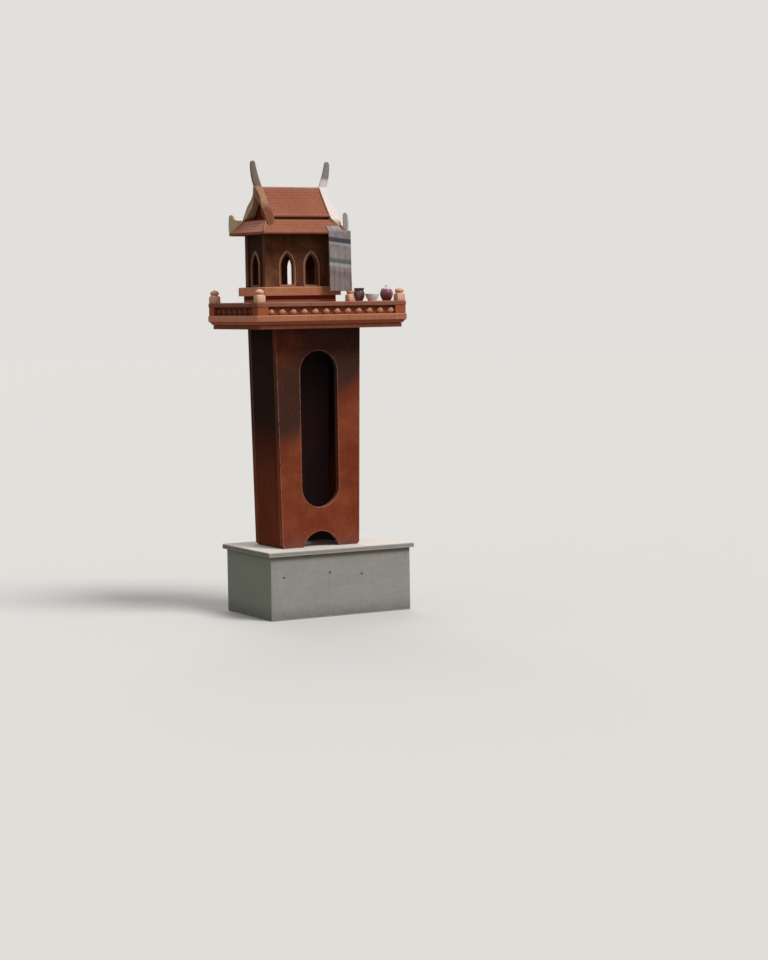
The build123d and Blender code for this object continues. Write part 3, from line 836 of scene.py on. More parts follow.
class Carver:
    """A mesh under construction, with the steps that every piece of the house shares."""

    def __init__(self, name: str) -> None:
        """Start an empty mesh.

        Args:
            name: The piece's name.
        """
        self.name = name
        self.shape = bmesh.new()

    def skin(self, rings: Sequence[Ring], loop: bool = False, finish: int = 0) -> None:
        """Skin a run of equal rings with quads.

        Args:
            rings: The rings in order, each with the same number of points.
            loop: Whether the last ring joins the first, or else both are closed with a face.
            finish: Which of the piece's finishes the faces take.
        """
        rows = [[self.shape.verts.new(point) for point in ring] for ring in rings]
        around = len(rows[0])
        pairs = list(zip(rows, rows[1:])) + ([(rows[-1], rows[0])] if loop else [])
        for low, high in pairs:
            for place in range(around):
                after = (place + 1) % around
                face = self.shape.faces.new((low[place], low[after], high[after], high[place]))
                face.material_index = finish
        if not loop:
            for row in (list(reversed(rows[0])), rows[-1]):
                self.shape.faces.new(row).material_index = finish

    def lathe(self, profile: Sequence[tuple[float, float]], foot: Vector, around: int, finish: int) -> None:
        """Turn a profile about an upright axis.

        Args:
            profile: Radius and height of each ring, from the underside up and over.
            foot: Where height 0 of the axis stands.
            around: How many points each ring has.
            finish: Which of the piece's finishes the faces take.
        """
        self.skin([
            [foot + Vector((radius * math.cos(turn), radius * math.sin(turn), height))
             for turn in full_turn(around)] for radius, height in profile
        ], finish=finish)

    def bead(self, path: Sequence[Vector], half_width: float, half_height: float, around: int = 14,
             finish: int = 0) -> None:
        """Run a rounded moulding along a path.

        Args:
            path: The points of the moulding's middle.
            half_width: Half its width.
            half_height: Half its height.
            around: How many points its section has.
            finish: Which of the piece's finishes it takes.
        """
        rings = []
        for place, point in enumerate(path):
            along = (path[min(place + 1, len(path) - 1)] - path[max(place - 1, 0)]).normalized()
            side = along.cross(UP).normalized()
            above = side.cross(along).normalized()
            rings.append([
                point + side * (half_width * math.cos(turn)) + above * (half_height * math.sin(turn))
                for turn in full_turn(around)
            ])
        self.skin(rings, finish=finish)

    def plate(self, outline: Sequence[Vector], depth: Vector) -> None:
        """Make a flat plate from a closed outline.

        Args:
            outline: The outline's points on the plate's near face.
            depth: The step from the near face to the far face.
        """
        self.shell(outline, [point + depth for point in outline])

    def shell(self, top: Sequence[Vector], under: Sequence[Vector], finish: int = 0) -> None:
        """Close the space between two outlines of as many points.

        Args:
            top: The points of one face.
            under: The points of the other, in the same order.
            finish: Which of the piece's finishes the faces take.
        """
        near, far = ([self.shape.verts.new(point) for point in outline] for outline in (top, under))
        faces = [self.shape.faces.new(near), self.shape.faces.new(list(reversed(far)))]
        for place in range(len(near)):
            after = (place + 1) % len(near)
            faces.append(self.shape.faces.new((near[after], near[place], far[place], far[after])))
        for face in faces:
            face.material_index = finish

    def done(self, finishes: Sequence[Finish], nodes: Sequence[str] = (), bevel: float = 0.0,
             crease: float = 40.0, depth: int = 2) -> bpy.types.Object:
        """Turn the mesh into a piece of the house.

        Args:
            finishes: The piece's finishes, in the order of its material places.
            nodes: The solids that the piece stands for.
            bevel: Width of the eased edges in metres, or 0 for none.
            crease: Edges sharper than this many degrees stay sharp.
            depth: How many segments an eased edge has.

        Returns:
            The finished object.
        """
        bmesh.ops.recalc_face_normals(self.shape, faces=self.shape.faces)
        mesh = bpy.data.meshes.new(self.name)
        self.shape.to_mesh(mesh)
        self.shape.free()
        for finish in finishes:
            mesh.materials.append(finish.material())
        for polygon in mesh.polygons:
            polygon.use_smooth = True
        mesh.set_sharp_from_angle(angle=math.radians(crease))
        piece = bpy.data.objects.new(self.name, mesh)
        bpy.context.scene.collection.objects.link(piece)
        if bevel:
            ease_edges(piece, bevel, depth)
        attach(piece, BODY)
        if nodes:
            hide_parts(*nodes)
        stood_for = ", ".join(nodes) or "nothing"
        LOG.info("made %s: %d faces, stands for %s", self.name, len(mesh.polygons), stood_for)
        return piece


def ease_edges(piece: bpy.types.Object, width: float, depth: int = 2) -> None:
    """Ease a piece's sharp edges with a small rounding.

    Args:
        piece: The object.
        width: Width of the rounding in metres.
        depth: How many segments it has.
    """
    ease = piece.modifiers.new("Eased edges", "BEVEL")
    ease.width = width
    ease.segments = depth
    ease.limit_method = "ANGLE"
    ease.angle_limit = EASED_FROM
    ease.harden_normals = False


class Castings:
    """The solids that keep their own shape, painted and with their edges eased."""

    PAINTED: dict[str, tuple[Finish, float]] = {
        "plinth_body": (Paints.RENDER, 0.006),
        "plinth_cap": (Paints.RENDER_CAP, 0.004),
        "pedestal_near_panel": (Paints.BRICK_RED, 0.004),
        "pedestal_far_panel": (Paints.BRICK_RED, 0.004),
        # The end panels take the darker brick red, as painted shade.
        "pedestal_rear_panel": (Paints.BRICK_RED_SHADED_ENDS, 0.003),
        "pedestal_front_panel": (Paints.BRICK_RED_SHADED_ENDS, 0.003),
        "platform_lower_course": (Paints.RUSSET, 0.003),
        "platform_slab": (Paints.TERRACOTTA, 0.004),
        "platform_neck": (Paints.NECK, 0.003),
        "deck": (Paints.DECK, 0.003),
        "house_foot": (Paints.FOOT, 0.002),
        "house_base": (Paints.TERRACOTTA, 0.003),
        "pilasters": (Paints.UMBER, 0.003),
        "near_wall": (Paints.UMBER, 0.0),
        "far_wall": (Paints.UMBER, 0.0),
        # The rear wall takes the darker umber, as painted shade.
        "rear_wall": (Paints.UMBER_PAINTED_SHADE, 0.0),
        "front_wall": (Paints.UMBER, 0.0),
        "skirt_roof": (Paints.TILE, 0.002),
        "tier_band": (Paints.TILE, 0.0),
        "near_roof_slope": (Paints.TILE, 0.002),
        "far_roof_slope": (Paints.TILE, 0.002),
        "rear_gable": (Paints.RECESS, 0.002),
        "front_gable": (Paints.RECESS, 0.002),
        "ridge_cap": (Paints.RIDGE, 0.002),
    }

    def build(self) -> None:
        """Paint each solid and ease its edges."""
        for name, (finish, easing) in self.PAINTED.items():
            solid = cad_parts[name]
            for place in solid.material_slots:
                place.link = "OBJECT"
                place.material = finish.material()
            if easing:
                solid.modifiers.new("Join", "WELD").merge_threshold = WELD_REACH
                ease_edges(solid, easing)
            LOG.info("painted %s with %s", name, finish.name)


@dataclass
class LotusCourse:
    """The row of lotus petals round the neck, and the bud-topped posts on the deck's corners.

    Attributes:
        petal_width: Width of a petal.
        petal_pitch: Distance from one petal to the next.
        across: How many steps a petal has across.
        up: How many steps it has from foot to tip.
        fullness: How square its section is, from 2 for an ellipse.
        belly: How far the section stands out, as a share of the petal's depth.
        rib: Height of the rib up its middle.
        rib_narrowness: The petal's width in widths of the rib.
        rib_shortness: The petal's height in lengths of the rib.
        half_widths: Its width at even steps up, as shares.
        bulges: Its depth at even steps up, as shares.
        post_size: Width of a post.
        post_around: How many points a post's ring has.
        post_corner: How far its corners reach, with 1 the middle of a face.
        bud_lobes: How many lobes its bud has.
        bud_lobe_depth: How deep they are cut, as a share of the radius.
        post_profile: Level, width and squareness of each ring, as shares.
    """

    petal_width: float = 0.046
    petal_pitch: float = 0.071
    across: int = 14
    up: int = 12
    fullness: float = 2.4
    belly: float = 0.93
    rib: float = 0.0016
    rib_narrowness: float = 5.0
    rib_shortness: float = 1.05
    half_widths: tuple[float, ...] = (0.62, 0.86, 1.0, 0.92, 0.62, 0.12)
    bulges: tuple[float, ...] = (0.5, 0.8, 0.98, 1.0, 0.86, 0.62)
    post_size: float = 0.054
    post_around: int = 32
    post_corner: float = 1.32
    bud_lobes: int = 8
    bud_lobe_depth: float = 0.05
    post_profile: tuple[tuple[float, float, float], ...] = (
        (0.0, 0.98, 1.0), (0.05, 1.0, 1.0), (0.47, 0.98, 1.0), (0.52, 0.86, 0.9), (0.56, 0.74, 0.5),
        (0.60, 0.76, 0.0), (0.67, 0.94, 0.0), (0.76, 1.0, 0.0), (0.85, 0.88, 0.0), (0.92, 0.60, 0.0),
        (0.97, 0.28, 0.0), (1.0, 0.08, 0.0),
    )

    def petal_rings(self, foot: Vector, along: Vector, out: Vector, depth: float,
                    height: float) -> list[Ring]:
        """Shape one petal.

        Args:
            foot: Middle of the petal's foot against the neck.
            along: Unit step along the course.
            out: Unit step away from the neck.
            depth: How far the petal stands out.
            height: How high it is.

        Returns:
            Rings from foot to tip, each open curve closed by its flat back.
        """
        rings = []
        for level in range(self.up + 1):
            share = level / self.up
            half = self.petal_width / 2 * eased(self.half_widths, share)
            bulge = depth * eased(self.bulges, share)
            rib = self.rib * math.sin(math.pi * min(1.0, share * self.rib_shortness))
            ring = []
            for place in range(self.across + 1):
                aside = 2 * place / self.across - 1
                swell = math.sqrt(max(0.0, 1 - abs(aside) ** self.fullness)) * bulge * self.belly
                ridge = rib * max(0.0, 1 - abs(aside) * self.rib_narrowness)
                ring.append(foot + along * (half * aside) + out * (swell + ridge) + rise(height * share))
            rings.append(ring)
        return rings

    def build_petals(self, side: str, along: Vector, out: Vector, finish: Finish) -> None:
        """Build one side's course of petals.

        Args:
            side: Which side of the platform.
            along: Unit step along that side.
            out: Unit step away from it.
            finish: The petals' paint.
        """
        node = f"petals_{side}"
        low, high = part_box(node)
        run = abs((high - low).dot(along))
        depth = abs((high - low).dot(out))
        count = 1 + round((run - self.petal_width) / self.petal_pitch)
        middle = (low + high) / 2
        back = Vector((middle.x, middle.y, low.z)) - out * (depth / 2)
        carver = Carver(f"lotus_petals_{side}")
        for place in range(count):
            foot = back + along * ((place - (count - 1) / 2) * self.petal_pitch)
            carver.skin(self.petal_rings(foot, along, out, depth, high.z - low.z))
        carver.done([finish], [node], crease=50)

    def post_ring(self, centre: Vector, width: float, square: float) -> Ring:
        """Shape one ring of a post, between a square and a lobed circle.

        Args:
            centre: The ring's middle.
            width: Its width, as a share of the post's.
            square: How square it is, from 0 to 1.

        Returns:
            Its points.
        """
        ring = []
        for turn in full_turn(self.post_around, 0.5):
            reach = min(1 / max(abs(math.cos(turn)), abs(math.sin(turn))), self.post_corner)
            lobe = 1 - self.bud_lobe_depth * (1 - square) * (0.5 + 0.5 * math.cos(self.bud_lobes * turn))
            radius = self.post_size / 2 * width * (square * reach + (1 - square) * lobe)
            ring.append(centre + Vector((radius * math.cos(turn), radius * math.sin(turn), 0)))
        return ring

    def build_posts(self) -> None:
        """Build the four posts, square at the foot and turning into a bud."""
        low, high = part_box("corner_posts")
        half, height = self.post_size / 2, high.z - low.z
        carver = Carver("bud_posts")
        for x in (low.x + half, high.x - half):
            for y in (low.y + half, high.y - half):
                carver.skin([self.post_ring(Vector((x, y, low.z + height * level)), width, square)
                             for level, width, square in self.post_profile])
        carver.done([Paints.POST], ["corner_posts"], crease=50)

    def build(self) -> None:
        """Build the four courses and the posts."""
        self.build_petals("near", ALONG, -ACROSS, Paints.PETAL_PAINTED_HIGHLIGHT)
        self.build_petals("far", -ALONG, ACROSS, Paints.PETAL_PAINTED_HIGHLIGHT)
        self.build_petals("front", ACROSS, ALONG, Paints.PETAL_PAINTED_HIGHLIGHT)
        # The rear course takes the darker petal paint, as painted shade.
        self.build_petals("rear", -ACROSS, -ALONG, Paints.PETAL_PAINTED_SHADE)
        self.build_posts()


@dataclass
class WallFace:
    """The outer face of one wall.

    Attributes:
        middle: Its middle, at floor level.
        along: Unit step along it.
        out: Unit step away from it.
    """

    middle: Vector
    along: Vector
    out: Vector

    def at(self, shift: float, level: float, proud: float) -> Vector:
        """Give the point at a shift along the face, a level above the floor and a height above the face."""
        return self.middle + self.along * shift + self.out * proud + rise(level)


@dataclass(frozen=True)
class Opening:
    """A pointed opening: its width, the height of its point above its foot, and the level of its foot."""

    width: float
    height: float
    sill: float = 0.0


@dataclass
class PointedFrames:
    """The raised mouldings round the windows and the doorway.

    Attributes:
        window: A window.
        door: The doorway.
        window_spacing: Distance from one window to the next.
        spring: Where an arch springs from, as a share of the opening's height.
        jamb_steps: How many steps each jamb has.
        arch_steps: How many steps each side of an arch has.
        border: How wide the moulding is at the sides.
        peak: How wide it is at the point.
        proud: How far it stands out.
        section: The flat inner part of its section, as shares of its width and of how far it stands out.
        bead: The rounded outer part.
    """

    window: Opening = Opening(0.076, 0.174, 0.014)
    door: Opening = Opening(0.104, 0.236)
    window_spacing: float = 0.158
    spring: float = 0.55
    jamb_steps: int = 4
    arch_steps: int = 12
    border: float = 0.017
    peak: float = 0.024
    proud: float = 0.008
    section: Pairs = ((0.0, 0.0), (0.0, 0.35), (0.12, 0.5), (0.4, 0.5), (0.48, 0.62), (0.48, 0.0))
    bead: Pairs = ((0.48, 0.0), (0.48, 0.62), (0.56, 0.9), (0.7, 1.0), (0.84, 0.9), (0.95, 0.5), (1.0, 0.2),
                   (1.0, 0.0))

    def lancet(self, opening: Opening) -> list[tuple[float, float]]:
        """Trace a pointed opening.

        Args:
            opening: Its measures.

        Returns:
            Its points, from the left foot over the point to the right foot.
        """
        half, spring = opening.width / 2, opening.height * self.spring
        arch = opening.height - spring
        radius = (half * half + arch * arch) / (2 * half)
        sweep = math.asin(arch / radius)
        foot, springing = opening.sill, opening.sill + spring
        left = [(-half, foot + spring * step / self.jamb_steps) for step in range(self.jamb_steps)]
        for step in range(self.arch_steps + 1):
            turn = sweep * step / self.arch_steps
            left.append((radius - half - radius * math.cos(turn), springing + radius * math.sin(turn)))
        return left + [(-x, z) for x, z in reversed(left[:-1])]

    def build_frames(self, name: str, node: str, opening: Opening, face: WallFace,
                     shifts: Sequence[float]) -> None:
        """Build the mouldings of one wall. Under a sill they run on, and a doorway's end at the floor.

        Args:
            name: The piece's name.
            node: The solid that they stand for.
            opening: The wall's openings.
            face: The wall's outer face.
            shifts: Where the openings stand along it.
        """
        inner = self.lancet(opening)
        top = opening.sill + opening.height + self.peak
        outer = self.lancet(Opening(opening.width + 2 * self.border, top))
        carver = Carver(name)
        for shift in shifts:
            for place, section in enumerate((self.section, self.bead)):
                carver.skin([
                    [face.at(shift + in_x + (out_x - in_x) * share, in_z + (out_z - in_z) * share,
                             self.proud * lift) for share, lift in section]
                    for (in_x, in_z), (out_x, out_z) in zip(inner, outer)
                ], loop=opening.sill > 0, finish=place)
        carver.done([Paints.UMBER, Paints.UMBER_PALE], [node], crease=55)

    def build(self) -> None:
        """Build the mouldings of all four walls."""
        near, far, rear, front = (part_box(f"{side}_wall") for side in ("near", "far", "rear", "front"))
        middle_x, floor = (near[0].x + near[1].x) / 2, near[0].z
        pair = (-self.window_spacing / 2, self.window_spacing / 2)
        for side, face, shifts in (
                ("near", WallFace(Vector((middle_x, near[0].y, floor)), ALONG, -ACROSS), pair),
                ("far", WallFace(Vector((middle_x, far[1].y, floor)), -ALONG, ACROSS), pair),
                ("rear", WallFace(Vector((rear[0].x, 0, floor)), -ACROSS, -ALONG), (0.0,))):
            self.build_frames(f"{side}_window_mouldings", f"{side}_window_frames", self.window, face, shifts)
        doorway = WallFace(Vector((front[1].x, 0, floor)), ACROSS, ALONG)
        self.build_frames("front_doorway_moulding", "doorway_frame", self.door, doorway, (0.0,))


@dataclass
class RoofLines:
    """The lines that both roof tiers follow, read from the solids.

    Attributes:
        sag: How far the upper slopes hang below a straight line.
        ridge_half: Half the ridge's width.
        hip_run: How far the lower tier's hips run in along X and Y.
        fascia: Height of the lower tier's upright edge.
        start: Where the upper slopes start along X.
        end: Where they end.
        eave: Level of their eaves.
        eave_half: Distance of their eaves from the house's middle plane.
        ridge: Level of their top.
        skirt_low: Lowest corner of the lower tier.
        skirt_high: Highest corner of it.
    """

    sag: float = 0.006
    ridge_half: float = 0.011
    hip_run: tuple[float, float] = (0.060, 0.091)
    fascia: float = 0.014
    start: float = field(init=False)
    end: float = field(init=False)
    eave: float = field(init=False)
    eave_half: float = field(init=False)
    ridge: float = field(init=False)
    skirt_low: Vector = field(init=False)
    skirt_high: Vector = field(init=False)

    def __post_init__(self) -> None:
        """Read the tiers' places from the solids."""
        low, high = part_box("far_roof_slope")
        self.start, self.end = low.x, high.x
        self.eave, self.eave_half = low.z, high.y
        self.ridge = high.z
        self.skirt_low, self.skirt_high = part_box("skirt_roof")

    def slope_curve(self, top: tuple[float, float], foot: tuple[float, float], sag: float,
                    count: int) -> Ring:
        """Trace a slope's sagging line across the house.

        Args:
            top: Distance from the house's middle plane and level of its top.
            foot: The same for its eave.
            sag: How far it hangs below the straight line.
            count: How many steps to take.

        Returns:
            Points with their distance in y and their level in z, from top to foot.
        """
        start, end = Vector((0, *top)), Vector((0, *foot))
        down = Vector((0, start.z - end.z, end.y - start.y)).normalized()
        middle = (start + end) / 2 - down * sag
        return arc_points(start, middle, end, count)


@dataclass
class Slope:
    """One slope that tiles are laid on.

    Attributes:
        line: Its line from top to foot, as distance out in y and level in z.
        base: The point of the house that distances out start from.
        out: Unit step from there towards the eave.
        along: Unit step along its courses.
        limits: Gives the first and last place along a course from its distance out.
        lengths: Length of each step of the line.
        total: Length of the whole line.
    """

    line: Ring
    base: Vector
    out: Vector
    along: Vector
    limits: Callable[[float], tuple[float, float]]
    lengths: list[float] = field(init=False)
    total: float = field(init=False)

    def __post_init__(self) -> None:
        """Measure the line."""
        self.lengths = [(after - before).length for before, after in zip(self.line, self.line[1:])]
        self.total = sum(self.lengths)

    def at(self, run: float) -> tuple[Vector, Vector]:
        """Find a place on the slope.

        Args:
            run: How far down the slope it lies.

        Returns:
            The point and the upward normal there.
        """
        left = max(0.0, min(run, self.total))
        place = 0
        while left > self.lengths[place] and place < len(self.lengths) - 1:
            left -= self.lengths[place]
            place += 1
        first, second = self.line[place], self.line[place + 1]
        point = first.lerp(second, left / self.lengths[place])
        fall = (second - first).normalized()
        return self.base + self.out * point.y + rise(point.z), self.out * -fall.z + rise(fall.y)

    def out_at(self, run: float) -> float:
        """Tell how far out a run down the slope lies, were the line straight."""
        return self.line[0].y + (self.line[-1].y - self.line[0].y) * run / self.total


@dataclass
class RoofTiles(RoofLines):
    """The courses of round-ended tiles on both tiers, and the mouldings at their edges.

    Attributes:
        tile_pitch: Distance from one tile to the next along a course.
        row_pitch: Distance from one course to the next.
        tile_share: Half a tile's width, as a share of the pitch.
        tile_lap: Length of a tile, as a share of the distance between courses.
        tile_outline: Its outline, as shares of half its width and of its length, from the head down.
        tile_head: How high its head stands on the slope.
        tile_lift: How much higher its foot stands.
        tile_fall: How much lower its sides lie, as a share of that.
        tile_root: How deep it reaches into the slope.
        end_margin: Distance from a course's end to the end of an upper slope.
        hip_margin: Distance from a course's end to a hip.
        upper_steps: How many steps an upper slope's line has.
        lip: Half the width and half the height of the lips along the upper eaves.
        lip_inset: How far those lie inside the slopes' edges.
        skirt_lip: Half the width and half the height of the lip round the lower tier.
        skirt_lip_inset: How far its middle lies inside the lower tier's edge.
        skirt_lip_around: How many points its section has.
        hip_bead: Half the width and half the height of the beads on the hips.
        hip_bead_start: Where those start up the hip, as a share of its length.
        hip_bead_share: How much of the hip they cover.
        hip_bead_steps: How many steps they have.
        gable_foot: Half the width and half the height of the mouldings at the gables' feet.
        gable_foot_drop: How far those lie below the eaves.
    """

    tile_pitch: float = 0.0236
    row_pitch: float = 0.0205
    tile_share: float = 0.485
    tile_lap: float = 1.12
    tile_outline: Pairs = (
        (-1.0, 0.0), (1.0, 0.0), (1.0, 0.62), (0.82, 0.80), (0.46, 0.94), (0.0, 1.0), (-0.46, 0.94),
        (-0.82, 0.80), (-1.0, 0.62),
    )
    tile_head: float = 0.0006
    tile_lift: float = 0.0014
    tile_fall: float = 0.25
    tile_root: float = 0.0012
    end_margin: float = 0.012
    hip_margin: float = 0.010
    upper_steps: int = 12
    lip: tuple[float, float] = (0.007, 0.009)
    lip_inset: float = 0.001
    skirt_lip: tuple[float, float] = (0.006, 0.009)
    skirt_lip_inset: float = 0.003
    skirt_lip_around: int = 16
    hip_bead: tuple[float, float] = (0.006, 0.005)
    hip_bead_start: float = 0.03
    hip_bead_share: float = 0.94
    hip_bead_steps: int = 4
    gable_foot: tuple[float, float] = (0.006, 0.008)
    gable_foot_drop: float = 0.005

    def lay_tiles(self, carver: Carver, slope: Slope, finish: int = 0) -> None:
        """Lay courses of tiles on a slope.

        Args:
            carver: The mesh that takes them.
            slope: Where they lie.
            finish: Which of the piece's finishes the tiles take.
        """
        for row in range(int(slope.total / self.row_pitch)):
            foot_run = slope.total - row * self.row_pitch
            first, last = slope.limits(slope.out_at(foot_run - self.row_pitch * 0.5))
            count = int((last - first) / self.tile_pitch + 0.5 * (row % 2))
            margin = (last - first - count * self.tile_pitch) / 2 + self.tile_pitch / 2
            for place in range(count):
                self.lay_tile(carver, slope, first + margin + place * self.tile_pitch, foot_run, finish)

    def lay_tile(self, carver: Carver, slope: Slope, middle: float, foot_run: float, finish: int) -> None:
        """Lay one tile, thin at its head and thick at its round foot.

        Args:
            carver: The mesh that takes it.
            slope: The slope that it lies on.
            middle: The tile's place along the course.
            foot_run: How far down the slope its foot lies.
            finish: Which of the piece's finishes it takes.
        """
        half, drop = self.tile_pitch * self.tile_share, self.row_pitch * self.tile_lap
        top, under = [], []
        for aside, fall in self.tile_outline:
            point, normal = slope.at(foot_run - drop + drop * fall)
            place = point + slope.along * (middle + half * aside)
            lift = self.tile_head + self.tile_lift * fall * (1 - self.tile_fall * abs(aside))
            top.append(place + normal * lift)
            under.append(place - normal * self.tile_root)
        carver.shell(top, under, finish)

    def build_upper_tiles(self) -> None:
        """Tile the two upper slopes."""
        line = self.slope_curve((self.ridge_half, self.ridge), (self.eave_half, self.eave), self.sag,
                                self.upper_steps)
        limits = (self.start + self.end_margin, self.end - self.end_margin)
        for side, out in (("near", -ACROSS), ("far", ACROSS)):
            carver = Carver(f"{side}_upper_tiles")
            self.lay_tiles(carver, Slope(line, Vector(), out, ALONG, lambda _: limits))
            carver.done([Paints.TILE], crease=30)

    def build_skirt_tiles(self) -> None:
        """Tile the four slopes of the lower tier between their hips."""
        low, high = self.skirt_low, self.skirt_high
        half = ((high.x - low.x) / 2, high.y)
        top = (half[0] - self.hip_run[0], half[1] - self.hip_run[1])

        def between_hips(way: int, out: float) -> tuple[float, float]:
            """Where a course along X (0) or Y (1) starts and ends at a distance out along the other."""
            other = 1 - way
            reach = (top[way] + (half[way] - top[way]) * (out - top[other]) / (half[other] - top[other])
                     - self.hip_margin)
            return -reach, reach

        line_y, line_x = ([Vector((0, top[way], high.z)), Vector((0, half[way], low.z + self.fascia))]
                          for way in (1, 0))
        base = Vector(((low.x + high.x) / 2, 0, 0))
        carver = Carver("lower_tiles")
        for sign in (-1, 1):
            self.lay_tiles(carver, Slope(line_y, base, ACROSS * sign, ALONG, partial(between_hips, 0)))
            # The slope that faces the rear end takes the lighter tiles, as painted light.
            self.lay_tiles(carver, Slope(line_x, base, ALONG * sign, ACROSS, partial(between_hips, 1)),
                           finish=1 if sign < 0 else 0)
        carver.done([Paints.TILE, Paints.TILE_PAINTED_LIGHT], crease=30)

    def build_mouldings(self) -> None:
        """Build the lips of both eaves, the hips and the mouldings at the gables' feet."""
        carver = Carver("roof_mouldings")
        for sign in (-1, 1):
            edge, level = sign * (self.eave_half - self.lip_inset), self.eave + self.lip[1]
            carver.bead([Vector((self.start + self.lip_inset, edge, level)),
                         Vector((self.end - self.lip_inset, edge, level))], *self.lip)
        low, high = self.skirt_low, self.skirt_high
        corners = [Vector((x, y, low.z)) for x, y in (
            (low.x, low.y), (high.x, low.y), (high.x, high.y), (low.x, high.y))]
        half_width, half_height = self.skirt_lip
        carver.skin([
            [corner + Vector((math.copysign(1, corner.x), math.copysign(1, corner.y), 0))
             * (half_width * math.cos(turn) - self.skirt_lip_inset)
             + rise(half_height + half_height * math.sin(turn)) for turn in full_turn(self.skirt_lip_around)]
            for corner in corners
        ], loop=True)
        for corner in corners:
            run_x, run_y = self.hip_run
            inward = Vector((math.copysign(run_x, -corner.x), math.copysign(run_y, -corner.y),
                             high.z - low.z - self.fascia))
            foot = corner + rise(self.fascia) + inward * self.hip_bead_start
            step = inward * (self.hip_bead_share / self.hip_bead_steps)
            carver.bead([foot + step * place for place in range(self.hip_bead_steps + 1)], *self.hip_bead)
        for x in (self.start + self.gable_foot[0], self.end - self.gable_foot[0]):
            carver.bead([Vector((x, sign * self.eave_half, self.eave - self.gable_foot_drop))
                         for sign in (-1, 1)], *self.gable_foot, finish=1)
        carver.done([Paints.TILE_LIP, Paints.RECESS], crease=60)

    def build(self) -> None:
        """Tile both tiers and run their mouldings."""
        self.build_upper_tiles()
        self.build_skirt_tiles()
        self.build_mouldings()


